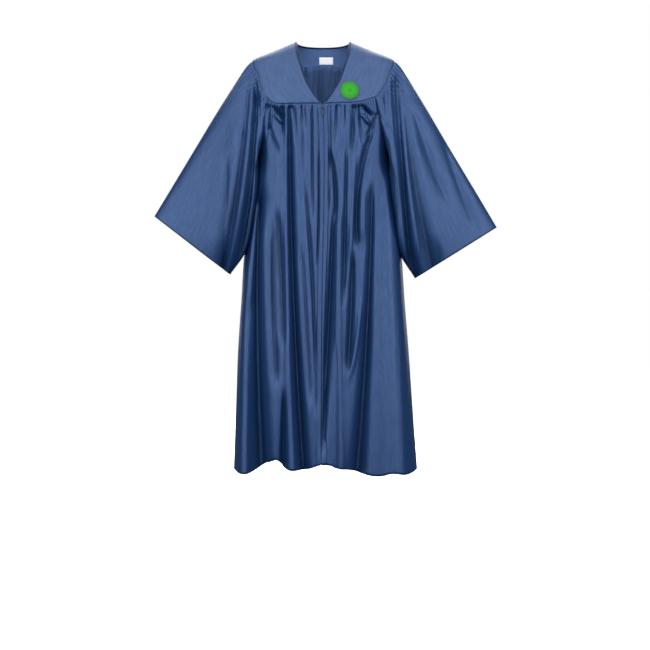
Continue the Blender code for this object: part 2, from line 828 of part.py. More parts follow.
def make_pull(spot, top):
    """Pull tab, its bar held under the bridge, hanging flat along the zip. Returns its pivot."""
    lift = top + (BRIDGE_RISE - BRIDGE_BAR) / 2
    pivot = spot.at(0, lift, 0)
    bar, half, eye = PULL_THICK / 2, PULL_WIDTH / 2, PULL_EYE / 2
    outer = [(-half, -bar), (half, -bar), (half, PULL_HOLE), (half, PULL_LENGTH - half), (half * 0.7, PULL_LENGTH - 1)]
    outer += [(-half * 0.7, PULL_LENGTH - 1), (-half, PULL_LENGTH - half), (-half, PULL_HOLE)]
    inner = [(-eye, bar), (eye, bar), (eye, PULL_HOLE / 2), (eye, PULL_HOLE), (eye * 0.5, PULL_HOLE + 0.4)]
    inner += [(-eye * 0.5, PULL_HOLE + 0.4), (-eye, PULL_HOLE), (-eye, PULL_HOLE / 2)]
    layers = []
    for out in (-PULL_THICK / 2, PULL_THICK / 2):
        layers.append([spot.at(x, lift + out, down) for x, down in outer])
        layers.append([spot.at(x, lift + out, down) for x, down in inner])
    count = len(outer)
    points = [point for layer in layers for point in layer]
    faces = []
    for i in range(count):
        k = (i + 1) % count
        back_outer, back_inner, front_outer, front_inner = 0, count, 2 * count, 3 * count
        faces.append((back_outer + i, back_inner + i, back_inner + k, back_outer + k))
        faces.append((front_outer + i, front_outer + k, front_inner + k, front_inner + i))
        faces.append((back_outer + i, back_outer + k, front_outer + k, front_outer + i))
        faces.append((back_inner + i, front_inner + i, front_inner + k, back_inner + k))
    make_object("zip_pull", "metal", points, faces, origin=pivot)
    return pivot


def lay_on(panel, start_y, x, drop):
    """Place and normal where a line towards the back meets a piece's nearer face."""
    item = bpy.data.objects[panel.name]
    hit, place, normal, _ = item.ray_cast(Vector((x, start_y, -drop)) * MM, Vector((0, 1, 0)))
    if not hit:
        raise ValueError("nothing to lie on at " + panel.name)
    return place / MM, normal


def make_patch(yoke):
    """Round badge on the left yoke."""
    rings = 4
    low, high = [], []
    for ring in range(1, rings + 1):
        radius = PATCH_RADIUS * ring / rings
        low.append([])
        high.append([])
        for i in range(PATCH_SIDES):
            turn = 2 * math.pi * i / PATCH_SIDES
            x = PATCH_MIDDLE[0] + radius * math.cos(turn)
            place, normal = lay_on(yoke, -400, x, PATCH_MIDDLE[1] + radius * math.sin(turn))
            low[-1].append(place + normal * PROUD)
            high[-1].append(place + normal * (PROUD + PATCH_THICK))
    place, normal = lay_on(yoke, -400, *PATCH_MIDDLE)
    size = rings * PATCH_SIDES
    points = [point for row in high for point in row] + [point for row in low for point in row]
    points += [place + normal * (PROUD + PATCH_THICK), place + normal * PROUD]
    faces = []
    for i in range(PATCH_SIDES):
        k = (i + 1) % PATCH_SIDES
        faces.append((2 * size, k, i))
        faces.append((2 * size + 1, i + size, k + size))
        for ring in range(rings - 1):
            a, b = ring * PATCH_SIDES, (ring + 1) * PATCH_SIDES
            faces.append((a + i, a + k, b + k, b + i))
            faces.append((a + i + size, b + i + size, b + k + size, a + k + size))
        rim = (rings - 1) * PATCH_SIDES
        faces.append((rim + i, rim + k, rim + k + size, rim + i + size))
    make_object("patch", "patch", points, faces)


def make_label(back_yoke):
    """Blank label against the inner face of the back yoke."""
    outer, inner = [], []
    for row in range(4):
        drop = LABEL_MIDDLE[1] + LABEL_HEIGHT * (row / 3 - 0.5)
        outer.append([])
        inner.append([])
        for column in range(7):
            x = LABEL_MIDDLE[0] + LABEL_WIDTH * (column / 6 - 0.5)
            place, normal = lay_on(back_yoke, 0, x, drop)
            outer[-1].append(place + normal * (SEAM + LABEL_THICK))
            inner[-1].append(place + normal * SEAM)
    make_wall("label", "label", outer, inner)


def face_outwards(item):
    """Turn every face of a closed object to point out of it."""
    shape = bmesh.new()
    shape.from_mesh(item.data)
    bmesh.ops.recalc_face_normals(shape, faces=shape.faces)
    shape.to_mesh(item.data)
    shape.free()


def main():
    """Build the gown."""
    clear_scene()
    names = {-1: "right", 1: "left"}
    back_yoke = Panel("yoke_back", "yoke_satin", back_yoke_grid())
    back = Panel("back", "satin", back_grid())
    yokes, fronts, sleeves = {}, {}, {}
    for side, name in names.items():
        yokes[side] = Panel("yoke_front_" + name, "yoke_satin", front_yoke_grid(side))
        fronts[side] = Panel("front_" + name, "satin", front_grid(side))
        loop, underarm = armhole_loop(side, yokes[side].rows, fronts[side].rows, back_yoke.rows, back.rows)
        sleeves[side] = Panel("sleeve_" + name, "satin", sleeve_grid(side, loop, underarm), ring=True)
    panels = [back_yoke, back, *yokes.values(), *fronts.values(), *sleeves.values()]
    join_seams(panels)
    for panel in panels:
        make_cloth(panel)
    make_binding(yokes, back_yoke)
    line, coil_face = make_zip(fronts)
    make_patch(yokes[1])
    make_label(back_yoke)
    (upper, _, _), (lower, _, normal) = line[0], line[1]
    spot = Spot(upper.lerp(lower, (upper.z + SLIDER_DROP) / (upper.z - lower.z)), normal)
    top = make_slider(spot, coil_face + SEAM)
    make_pull(spot, top)
    for item in bpy.data.objects:
        face_outwards(item)


main()
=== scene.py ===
# %% [markdown]
# # A graduation gown in satin
#
# The gown hangs filled out, with nobody in it. It is cut from eight pieces of navy satin: two front
# yokes and a back yoke lie flat on the shoulders, two fronts and a back are gathered under them, and
# two bell sleeves are gathered into the armholes. A long zip closes the front.
#
# A rigid model of the gown already exists and is the frame for everything here. This lesson builds
# the look on it: finer cloth with its folds, a zip with teeth, a badge, and finishes made of nodes.

import json
import math

import bmesh
import bpy
import numpy as np
from mathutils import Matrix, Vector, kdtree

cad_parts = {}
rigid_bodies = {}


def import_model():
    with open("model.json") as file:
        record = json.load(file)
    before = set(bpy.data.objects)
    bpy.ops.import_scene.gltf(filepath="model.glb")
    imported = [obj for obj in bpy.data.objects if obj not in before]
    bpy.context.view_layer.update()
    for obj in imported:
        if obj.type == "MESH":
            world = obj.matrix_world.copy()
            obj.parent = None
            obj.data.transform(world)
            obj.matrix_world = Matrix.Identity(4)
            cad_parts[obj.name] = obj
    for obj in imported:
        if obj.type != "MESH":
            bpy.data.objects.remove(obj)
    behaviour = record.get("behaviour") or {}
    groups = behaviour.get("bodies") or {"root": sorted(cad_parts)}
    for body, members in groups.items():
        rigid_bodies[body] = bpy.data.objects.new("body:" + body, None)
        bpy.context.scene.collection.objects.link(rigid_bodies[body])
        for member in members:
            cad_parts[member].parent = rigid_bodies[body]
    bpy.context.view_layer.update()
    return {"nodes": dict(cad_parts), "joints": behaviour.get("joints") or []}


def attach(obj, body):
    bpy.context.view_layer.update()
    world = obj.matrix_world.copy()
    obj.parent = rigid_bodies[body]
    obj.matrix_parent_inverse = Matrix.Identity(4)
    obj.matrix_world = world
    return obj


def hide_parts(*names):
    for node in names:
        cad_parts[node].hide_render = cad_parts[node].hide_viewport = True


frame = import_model()
scene = bpy.context.scene
MM = 0.001
print("nodes in the frame:", len(frame["nodes"]))

# %% [markdown]
# ## Reading sizes from short tables
#
# Cloth is easiest to shape from a few measurements with smooth curves between them. A table's first
# column says where, such as how far below the neck, and the other columns hold what was measured
# there. All lengths are in millimetres until a mesh is made.


# %% Smooth curves through tables
def ease(share):
    """Smooth step from 0 to 1."""
    share = np.clip(share, 0.0, 1.0)
    return share * share * (3.0 - 2.0 * share)


def mix(low, high, share):
    """Blend two values."""
    return low + (high - low) * share


def curve(table, key):
    """The table's other columns at key, on smooth curves. The columns come last in the result."""
    rows = np.array(table, float)
    marks, values = rows[:, 0], rows[:, 1:]
    before = np.vstack([rows[:1], rows[:-1]])
    after = np.vstack([rows[1:], rows[-1:]])
    slopes = (after - before)[:, 1:] / (after - before)[:, :1]
    key = np.clip(np.asarray(key, float), marks[0], marks[-1])
    i = np.clip(np.searchsorted(marks, key, side="right") - 1, 0, len(marks) - 2)
    span = (marks[i + 1] - marks[i])[..., None]
    t = (key - marks[i])[..., None] / span
    start = values[i] * (1 + 2 * t) + slopes[i] * span * t
    end = values[i + 1] * (3 - 2 * t) + slopes[i + 1] * span * (t - 1)
    return start * (1 - t) ** 2 + end * t * t


def run_length(points, axis):
    """Distance of each point from the first one, along a path or along the rows or columns of a grid."""
    steps = np.linalg.norm(np.diff(points, axis=axis), axis=-1)
    start = np.zeros_like(np.take(steps, [0], axis=axis))
    return np.concatenate([start, np.cumsum(steps, axis=axis)], axis=axis)


def along(path, share):
    """Point (across, drop) at a share of a path's length."""
    points = np.array(path, float)
    lengths = run_length(points, 0)
    found = curve(np.column_stack([lengths, points]), np.asarray(share) * lengths[-1])
    return found[..., 0], found[..., 1]


print("a smooth step a quarter of the way up:", float(ease(0.25)))

# %% [markdown]
# ## The hanging form
#
# Without its folds the gown's body is a soft tube. Each level is a squared oval: narrow at the neck,
# wide at the shoulders, closest under the arms and widening steadily to the hem. A place on it has a
# turn, in degrees round from the middle of the front, and a drop below the neck.

# %% The body's sections
FORM = (
    # drop, right, left, front, back, square
    (0, 77, 77, 4, 66, 2.4),
    (10, 100, 100, 18, 73, 2.4),
    (28, 141, 142, 34, 84, 2.4),
    (57, 206, 208, 53, 98, 2.4),
    (90, 213, 216, 71, 108, 2.4),
    (140, 211, 214, 93, 116, 2.4),
    (205, 204, 207, 113, 121, 2.4),
    (270, 196, 200, 119, 122, 2.4),
    (345, 188, 193, 123, 124, 2.5),
    (470, 204, 212, 130, 129, 2.6),
    (610, 226, 226, 138, 136, 2.8),
    (750, 235, 235, 146, 144, 2.9),
    (890, 244, 246, 153, 152, 3.0),
    (1040, 249, 256, 160, 160, 3.1),
    (1240, 256, 271, 168, 170, 3.2),
)
UNDERARM = 345
HEM = 1229


def section(drop, behind, side):
    """Half-width, depth and squareness of the form at a drop."""
    right, left, front, back, square = np.moveaxis(curve(FORM, drop), -1, 0)
    return np.where(side > 0, left, right), np.where(behind, back, front), square


def bare_form(turn, drop):
    """Across, depth and half-width of the form without folds."""
    side, depth = np.sin(np.radians(turn)), -np.cos(np.radians(turn))
    half, deep, square = section(drop, depth > 0, side)
    reach = ((abs(side) / half) ** square + (abs(depth) / deep) ** square) ** (-1 / square)
    return side * reach, depth * reach, half


def turn_at(x, drop, behind=False):
    """Turn of the place at x on the front, or on the back."""
    half, deep, square = section(drop, behind, x)
    out = np.maximum(1 - (abs(x) / half) ** square, 0)
    turn = np.degrees(np.arctan2(x, deep * out ** (1 / square)))
    return 180 - turn if behind else turn


print("width of the form at the hem:", FORM[-1][1] + FORM[-1][2], "mm")

# %% [markdown]
# ## Folds
#
# Cloth gathered at the top falls in long folds. Each row below is one fold a maker would see: where
# it starts and ends, the line it takes down the gown, how wide it is and how far it stands out (or
# dips in, below zero) at its start, middle and end. A lean in the last column makes one flank steeper.
# A dip has a tight bottom and a ridge a round top, as cloth under its own weight does, and small folds
# are made relatively stronger so that they still catch the light. Placing them one by one keeps each
# one where it belongs, which a simulation of loose cloth wouldn't.

# %% The folds of the fronts and the back
FRONT_FOLDS = (
    # start, end, x (start, middle, end), width (start, middle, end), rise (start, middle, end), any lean
    (430, 1330, -181, -182, -163, 6, 14, 24, -8, -32, -52),
    (600, 1330, -222, -223, -224, 12, 14, 16, 3, 16, 26),
    (330, 800, -176, -196, -212, 8, 8, 8, 2, 5, 4),
    (470, 900, -128, -117, -108, 6, 11, 8, -4, -15, -5, -0.2),
    (980, 1330, -108, -110, -114, 5, 9, 12, -5, -18, -28, 0.2),
    (196, 1330, -94, -81, -46, 6, 11, 15, -8, -26, -32, 0.1),
    (196, 330, -85, -77, -66, 4, 5, 5, -5, -4, -3),
    (196, 430, -61, -59, -55, 4, 5, 5, -6, -4, -3),
    (196, 290, -47, -49, -50, 3, 4, 4, -4, -3, -1),
    (196, 300, -114, -112, -110, 6, 6, 6, -8, -8, -4),
    (196, 1330, -104, -98, -84, 4, 6, 15, 4, 5, 12),
    (400, 1090, -52, -27, -17, 5, 6, 5, -5, -8, -5),
    (580, 1060, -60, -45, -32, 5, 6, 5, -4, -7, -4),
    (310, 680, -14, -12, -18, 3, 3, 3, -3, -4, -3),
    (196, 350, 39, 34, 28, 5, 5, 5, -7, -5, -2),
    (196, 340, 50, 49, 48, 3, 3, 3, -4, -2, -1),
    (196, 300, 61, 61, 60, 3, 3, 3, -4, -3, -1),
    (196, 370, 87, 83, 77, 6, 6, 4, -9, -8, -3),
    (290, 780, 67, 62, 56, 4, 5, 5, -5, -7, -5),
    (320, 740, 90, 81, 68, 4, 4, 4, 3, 4, 3),
    (196, 330, 102, 104, 117, 5, 5, 5, -7, -5, -3),
    (235, 640, 153, 99, 104, 6, 7, 8, -8, -11, -8, 0.1),
    (210, 300, 158, 140, 116, 4, 4, 4, -4, -5, -3),
    (235, 350, -157, -140, -120, 4, 4, 4, -5, -5, -3),
    (190, 300, -158, -150, -164, 5, 5, 5, -5, -5, -3),
    (310, 560, 15, 34, 32, 3, 6, 3, -4, -12, -3),
    (480, 1200, 30, 15, -3, 4, 9, 4, -4, -18, -4),
    (770, 1110, -17, -17, -16, 3, 3, 3, 2, 3, 2),
    (850, 1330, 36, 39, 37, 3, 4, 6, -3, -5, -7),
    (470, 1330, 47, 42, 50, 6, 8, 13, 3, 5, 7),
    (590, 970, 82, 78, 66, 7, 9, 5, -6, -16, -5),
    (740, 990, 106, 94, 68, 4, 4, 4, 2, 5, 3),
    (410, 610, 112, 110, 108, 8, 9, 8, 2, 6, 2),
    (400, 1330, 139, 121, 86, 6, 12, 22, -7, -26, -48),
    (360, 1330, 190, 205, 212, 20, 28, 32, 8, 24, 28),
    (205, 470, 166, 172, 184, 18, 20, 20, 5, 8, 5),
    (205, 470, -166, -170, -178, 18, 20, 20, 5, 8, 5),
    (196, 236, 106, 124, 146, 5, 6, 5, -9, -12, -7),
    (196, 240, -146, -126, -108, 5, 6, 5, -7, -12, -9),
    (222, 262, 104, 120, 134, 5, 5, 5, 4, 6, 4),
    (520, 1010, -140, -136, -128, 6, 9, 7, -4, -11, -5),
    (196, 560, -31, -30, -27, 3, 4, 4, -4, -5, -3),
    (196, 520, 21, 20, 17, 3, 4, 4, -4, -5, -3),
    (222, 258, -138, -124, -112, 5, 5, 5, 4, 6, 4),
)
BACK_FOLDS = (
    # start, end, x (start, middle, end), width (start, middle, end), rise (start, middle, end), any lean
    (84, 1330, -92, -122, -160, 10, 18, 24, -8, -26, -42, 0.1),
    (46, 1330, -44, -54, -76, 8, 13, 18, -8, -22, -36),
    (42, 1330, -9, -4, 12, 7, 11, 16, -9, -20, -32, -0.1),
    (46, 1330, 40, 56, 78, 8, 13, 18, -8, -22, -38),
    (84, 1330, 90, 120, 164, 10, 18, 24, -8, -26, -42, -0.1),
    (42, 420, -24, -27, -30, 4, 5, 6, -6, -5, -3),
    (42, 360, 20, 22, 20, 4, 5, 6, -6, -5, -3),
    (52, 520, -68, -78, -88, 5, 6, 8, -6, -6, -3),
    (52, 480, 64, 78, 92, 5, 6, 8, -6, -6, -3),
    (78, 460, 128, 140, 150, 6, 8, 9, -5, -6, -3),
    (76, 500, -122, -140, -152, 6, 8, 9, -5, -6, -3),
    (520, 1330, -30, -28, -34, 7, 9, 12, -4, -9, -13, 0.2),
    (600, 1330, 36, 30, 44, 7, 9, 12, -4, -9, -12),
    (640, 1330, -104, -112, -116, 7, 9, 12, -4, -8, -12),
    (560, 1330, 92, 104, 118, 7, 9, 12, -4, -8, -12),
    (420, 1330, -172, -194, -204, 9, 12, 16, -3, -8, -16),
    (460, 1330, 176, 198, 212, 9, 12, 16, -3, -8, -16),
    (380, 900, -12, 14, 22, 7, 8, 8, 2, 5, 2),
)
print("folds placed on the body:", len(FRONT_FOLDS) + len(BACK_FOLDS))

# %% [markdown]
# A fold is lifted out of the smooth form by a hump across its line. It fades in and out at its ends,
# except where a seam holds it: there it starts almost at once. Below, folds that start above a seam's
# drop are the ones the seam holds.

# %% Lifting the folds
FADE, FADE_SHARE = 70.0, 0.3  # longest fade, and the share of a short fold that it may take
SEAM_FADE = 16.0
FRONT_SEAM, BACK_SEAM, ARMHOLE_SEAM = 200, 105, 66
DIP_SHARP, RIDGE_SHARP = 1.25, 2.0  # powers of the hump's section
ROUND = 0.35  # how round the bottom is, as a share of the fold's width
SMALL_GAIN, SMALL_FOLD = 0.9, 16  # the gain of the smallest folds, and the height it dies away over
SIDE_BAND = 0.07  # share of the half-width, at the side seam, where folds die away


def bend(start, middle, end, share):
    """Smooth path through three values."""
    first = start * (1 - share) * (1 - 2 * share)
    return first + 4 * middle * share * (1 - share) + end * share * (2 * share - 1)


def lift_of(folds, x, drop, seam):
    """How far the folds lift the cloth. Those that start above the seam's drop begin quickly."""
    total = np.zeros(np.broadcast(x, drop).shape)
    for start, end, *shape in folds:
        line, width, rise, lean = shape[:3], shape[3:6], shape[6:9], shape[9:]
        share = np.clip((drop - start) / (end - start), 0, 1)
        offset = (x - bend(*line, share)) / bend(*width, share)
        offset /= 1 + sum(lean) * np.sign(offset)
        slow = min(FADE, FADE_SHARE * (end - start))
        quick = SEAM_FADE if start < seam else slow
        fade = ease((drop - start) / quick) * ease((end - drop) / slow)
        height = bend(*rise, share)
        height *= 1 + SMALL_GAIN * np.exp(-abs(height) / SMALL_FOLD)
        away = np.sqrt(offset**2 + ROUND**2) - ROUND
        sharp = DIP_SHARP if rise[1] < 0 else RIDGE_SHARP
        total += height * fade * np.exp(-(away**sharp))
    return total


def trunk(patch):
    """Points of the draped body at a patch of places. Folds die away next to the side seams."""
    turn, drop = patch[..., 0], patch[..., 1]
    x, y, half = bare_form(turn, drop)
    window = ease((1 - abs(x) / half) / SIDE_BAND)
    front = -lift_of(FRONT_FOLDS, x, drop, FRONT_SEAM)
    back = lift_of(BACK_FOLDS, x, drop, BACK_SEAM)
    behind = np.cos(np.radians(turn)) < 0
    return np.stack([x, y + window * np.where(behind, back, front), -drop], -1)


hem_middle = trunk(np.array([[0.0, HEM]]))[0]
print("middle of the front at the hem, in mm:", [round(float(value), 1) for value in hem_middle])

# %% [markdown]
# ## Cutting lines
#
# The pieces meet along seams: the V of the neck, the flat lower edge of the yoke, the armholes, the
# side seams and the middle of the front. Each seam is one line that both pieces share, so they meet
# exactly as sewn pieces do.

# %% Seams and the hem
CENTRE_LINE = (
    # drop, x
    (200, -1), (300, 3), (460, 3), (780, -3), (1240, -5),
)
NECK_V = (
    # drop, half-width
    (0, 77), (6, 76), (40, 72), (80, 61), (127, 46), (165, 26), (200, 2.5),
)
YOKE_EDGE = {
    # (across, drop) at points down the seam, for the wearer's right (-1) and left (+1)
    -1: ((206, 57), (198, 80), (187, 103), (180, 129), (173, 152), (157, 174)),
    +1: ((208, 57), (199, 80), (189, 103), (180, 129), (165, 155), (148, 175)),
}
YOKE_SEAM = {
    -1: ((157, 174), (145, 188), (130, 196), (90, 199), (0, 200)),
    +1: ((148, 175), (119, 186), (98, 193), (40, 198), (0, 200)),
}
FRONT_ARMHOLE = {
    -1: ((157, 174), (163, 220), (170, 280), (181, 322), (188, 345)),
    +1: ((148, 175), (158, 230), (172, 280), (184, 322), (193, 345)),
}
BACK_ARMHOLE = ((172, 118), (164, 160), (162, 230), (170, 295), (190, 345))
BACK_YOKE_SEAM = ((0, 46), (60, 54), (120, 78), (172, 118))
YOKE_DROP = 200
NECK_CROWDING = 1.35
BELOW_NECK = 84
FRONT_HEM = (
    # x, drop
    (-252, 1229), (-230, 1233), (-205, 1232), (-175, 1216), (-152, 1200), (-138, 1193),
    (-122, 1198), (-106, 1216), (-70, 1222), (-44, 1220), (-8, 1207), (22, 1208),
    (34, 1214), (72, 1221), (106, 1232), (145, 1238), (166, 1236), (190, 1229),
    (232, 1234), (266, 1229),
)
BACK_HEM = (
    # x, drop
    (-252, 1229), (-180, 1236), (-120, 1222), (-40, 1234), (30, 1224), (110, 1236),
    (190, 1226), (266, 1229),
)
CENTRE_GAP = 1.6
EASE_FROM = 0.75
FRONT_COLUMNS = 120
NECK_COLUMNS = 36
BACK_COLUMNS = 2 * FRONT_COLUMNS + NECK_COLUMNS
YOKE_ROWS = 48
BACK_YOKE_ROWS = 20
ARMHOLE_ROWS = 44
SKIRT_ROWS = 112
SKIRT_SHARES = np.linspace(0, 1, SKIRT_ROWS + 1)[:, None]
print("columns across the back:", BACK_COLUMNS)

# %% [markdown]
# A piece is a patch of places, each a turn and a drop. Its four edges are lines from the tables, and
# the inside is filled in evenly from them, as a maker's pattern is drawn from its outline.


# %% Lines and patches
def zip_edge(side, drop):
    """Where a front's edge lies beside the zip."""
    return curve(CENTRE_LINE, drop)[..., 0] + CENTRE_GAP / 2 * side


def hem_drop(turn):
    """Drop of the hem at a turn."""
    x = bare_form(turn, np.full_like(turn, HEM))[0]
    behind = np.cos(np.radians(turn)) < 0
    return np.where(behind, curve(BACK_HEM, x)[..., 0], curve(FRONT_HEM, x)[..., 0])


def places(turn, drop):
    """Turns and drops side by side."""
    return np.stack(np.broadcast_arrays(np.asarray(turn, float), np.asarray(drop, float)), -1)


def blend_edges(bottom, top, first, last, u, v):
    """Fill a patch from its four edges: bottom and top run with u, first and last with v."""
    u, v = u[None, :, None], v[:, None, None]
    edges = mix(bottom[None], top[None], v) + mix(first[:, None], last[:, None], u)
    corners = mix(mix(bottom[0], bottom[-1], u), mix(top[0], top[-1], u), v)
    return edges - corners


def seam_places(side, u):
    """The seam under a front yoke, from the zip outwards."""
    across, drop = along(YOKE_SEAM[side], 1 - u)
    x = across * side + zip_edge(side, drop) * (1 - u)
    return places(turn_at(x, drop), drop)


# %% [markdown]
# The front yoke's rows run from the neck to the armhole. The front hangs from the same seam, so its
# top row is the yoke's bottom row. Below the underarm the rows simply run down to the hem.


# %% Front yoke and front
def front_yoke(side):
    """Rows of points of a front yoke, from the shoulder down, each from the neck outwards."""
    u, v = np.linspace(0, 1, FRONT_COLUMNS + 1), np.linspace(0, 1, YOKE_ROWS + 1)
    shoulder = places(90.0 * side, YOKE_EDGE[side][0][1] * u)
    drop = YOKE_DROP * v**NECK_CROWDING
    lean = curve(CENTRE_LINE, drop)[..., 0] * drop / YOKE_DROP
    neck = places(turn_at(curve(NECK_V, drop)[..., 0] * side + lean, drop), drop)
    across, edge_drop = along(YOKE_EDGE[side], v)
    edge = places(turn_at(across * side, edge_drop), edge_drop)
    shoulder[-1], neck[0] = edge[0], shoulder[0]
    return trunk(blend_edges(shoulder, seam_places(side, u), neck, edge, u, v))


def armhole_edge(path, side, v, behind=False):
    """Places down an armhole, eased round to the side seam at the underarm."""
    across, drop = along(path, v)
    turn = turn_at(across * side, drop, behind)
    start = np.interp(EASE_FROM, v, turn)
    end = (180.0 - 90.0 * side) if behind else 90.0 * side
    turn = np.where(v > EASE_FROM, mix(start, end, (v - EASE_FROM) / (1 - EASE_FROM)), turn)
    return places(turn, drop)


def with_skirt(top, turn):
    """Points of a panel from its top patch and, below the underarm, its skirt at the given turns."""
    skirt = places(turn, mix(UNDERARM, hem_drop(turn), SKIRT_SHARES))
    return trunk(np.concatenate([top[:-1], skirt]))


def front_panel(side):
    """Rows of points of a front, from the yoke seam down, each from the zip outwards."""
    u, v = np.linspace(0, 1, FRONT_COLUMNS + 1), np.linspace(0, 1, ARMHOLE_ROWS + 1)
    level = places(mix(turn_at(zip_edge(side, UNDERARM), UNDERARM), 90.0 * side, u), UNDERARM)
    drop = mix(YOKE_DROP, UNDERARM, v)
    centre = places(turn_at(zip_edge(side, drop), drop), drop)
    armhole = armhole_edge(FRONT_ARMHOLE[side], side, v)
    top = blend_edges(seam_places(side, u), level, centre, armhole, u, v)
    rough = mix(UNDERARM, HEM, SKIRT_SHARES)
    return with_skirt(top, mix(turn_at(zip_edge(side, rough), rough), 90.0 * side, u))


# %% [markdown]
# The back is made the same way in one piece, from the wearer's left armhole round to the right one.


# %% Back yoke and back
def back_seam():
    """The seam under the back yoke, from the wearer's left."""
    out = np.linspace(BACK_YOKE_SEAM[-1][0], BELOW_NECK, FRONT_COLUMNS + 1)
    middle = np.linspace(BELOW_NECK, -BELOW_NECK, NECK_COLUMNS + 1)
    x = np.concatenate([out[:-1], middle, -out[-2::-1]])
    drop = curve(BACK_YOKE_SEAM, abs(x))[..., 0]
    return places(turn_at(x, drop, True), drop)


def back_yoke():
    """Rows of points of the back yoke, from its top edge down, each from the wearer's left."""
    tip = np.linspace(YOKE_EDGE[1][0][1], 0, FRONT_COLUMNS + 1)
    around_neck = np.linspace(90, 270, NECK_COLUMNS + 1)
    turn = np.concatenate([[90.0] * FRONT_COLUMNS, around_neck, [270.0] * FRONT_COLUMNS])
    drop = np.concatenate([tip[:-1], [0.0] * (NECK_COLUMNS + 1), tip[-2::-1]])
    down = np.linspace(0, 1, BACK_YOKE_ROWS + 1)[:, None, None]
    return trunk(mix(places(turn, drop), back_seam(), down))


def back_panel():
    """Rows of points of the back, from the yoke seam down, each from the wearer's left."""
    u, v = np.linspace(0, 1, BACK_COLUMNS + 1), np.linspace(0, 1, ARMHOLE_ROWS + 1)
    sides = [armhole_edge(BACK_ARMHOLE, side, v, True) for side in (1, -1)]
    turn = mix(90.0, 270.0, u)
    top = blend_edges(back_seam(), places(turn, UNDERARM), *sides, u, v)
    return with_skirt(top, turn)


print("rows of points in a front:", ARMHOLE_ROWS + SKIRT_ROWS + 1)

# %% [markdown]
# ## Sleeves
#
# A bell sleeve starts as the armhole's loop and flattens to a wide tube that falls from the shoulder.
# Its rings are blended from that loop to an oval between an outer and an inner edge, and its own
# folds run down its length and stop at both edges. The inner edge hangs a little forward of the side
# seam, and below the underarm each ring is kept just outside the body.

# %% The sleeves' edges and folds
SLEEVE = {
    -1: (
        # along, outer x, outer drop, inner x, inner drop, half-thickness, forward
        (0.00, 206, 57, 188, 345, 88, 0),
        (0.06, 224, 76, 185, 362, 86, 24),
        (0.20, 262, 136, 183, 405, 78, 66),
        (0.50, 345, 272, 197, 506, 66, 78),
        (0.80, 431, 414, 220, 610, 56, 66),
        (1.00, 487, 506, 266, 675, 50, 44),
    ),
    +1: (
        (0.00, 208, 57, 193, 345, 88, 0),
        (0.06, 226, 76, 189, 362, 86, 24),
        (0.20, 264, 138, 188, 405, 78, 66),
        (0.50, 353, 290, 202, 506, 66, 78),
        (0.80, 444, 441, 217, 612, 58, 70),
        (1.00, 502, 538, 264, 686, 52, 44),
    ),
}
SLEEVE_FRONT_FOLDS = {
    -1: (
        # start, end, x (start, middle, end), width (start, middle, end), rise (start, middle, end)
        (70, 800, -195, -203, -282, 8, 10, 12, -12, -24, -24),
        (110, 800, -203, -224, -292, 6, 7, 8, 3, 5, 5),
        (90, 800, -210, -240, -318, 6, 8, 10, -5, -11, -10),
        (330, 800, -270, -278, -300, 6, 8, 9, -2, -6, -6),
        (180, 640, -184, -190, -207, 4, 4, 5, 2, 4, 4),
        (62, 290, -187, -187, -188, 3, 3, 3, -4, -5, -2),
        (62, 270, -179, -179, -178, 3, 3, 3, -3, -4, -2),
        (62, 280, -174, -170, -164, 3, 3, 4, -3, -4, -2),
    ),
    +1: (
        (70, 800, 210, 226, 272, 8, 10, 12, -12, -24, -22),
        (140, 800, 226, 244, 300, 6, 7, 8, 3, 5, 5),
        (90, 800, 222, 262, 352, 8, 13, 15, -6, -15, -14),
        (170, 500, 246, 296, 366, 10, 13, 13, -2, -6, -2),
        (240, 580, 330, 384, 452, 10, 12, 12, -2, -5, -2),
        (560, 800, 322, 332, 350, 6, 7, 8, -1, -4, -6),
        (62, 330, 174, 176, 186, 3, 4, 4, -4, -5, -2),
        (62, 330, 184, 185, 192, 3, 3, 4, -4, -4, -2),
        (62, 330, 197, 199, 203, 3, 4, 4, -3, -5, -2),
    ),
}
SLEEVE_BACK_FOLDS = {
    -1: (
        (80, 800, -206, -240, -300, 9, 13, 16, -6, -16, -16),
        (120, 800, -226, -286, -362, 8, 11, 14, -3, -8, -10),
        (70, 420, -192, -200, -214, 4, 5, 6, -4, -5, -3),
        (260, 700, -280, -330, -404, 10, 12, 14, -2, -4, -3),
    ),
    +1: (
        (80, 800, 208, 246, 312, 9, 13, 16, -6, -16, -16),
        (120, 800, 230, 292, 374, 8, 11, 14, -3, -8, -10),
        (70, 400, 194, 204, 218, 4, 5, 6, -4, -5, -3),
        (300, 700, 290, 346, 418, 10, 12, 14, -2, -4, -3),
    ),
}
SLEEVE_RINGS = 116
SLEEVE_CLEAR = 2.0
FLAT_TUBE = 3.2
for side, folds in SLEEVE_FRONT_FOLDS.items():
    print("folds placed on a sleeve:", len(folds) + len(SLEEVE_BACK_FOLDS[side]))

# %% [markdown]
# The first ring is the armhole itself, point for point, so the sleeve is joined to the body without a
# gap. Each later ring is less of that loop and more of the flat oval. Every change that sets in along
# the sleeve does so over a share of its length.

# %% Rings of a sleeve
RING_CROWDING = 1.15  # above 1, rings lie closer together near the armhole
OVAL_FROM, STRAIGHT_FROM, FOLDS_FROM, CLEAR_FROM = 0.5, 0.35, 0.08, 0.05
EDGE_POWER = 12  # high, so folds stop only just before the sleeve's two edges
CLEAR_ABOVE = 30


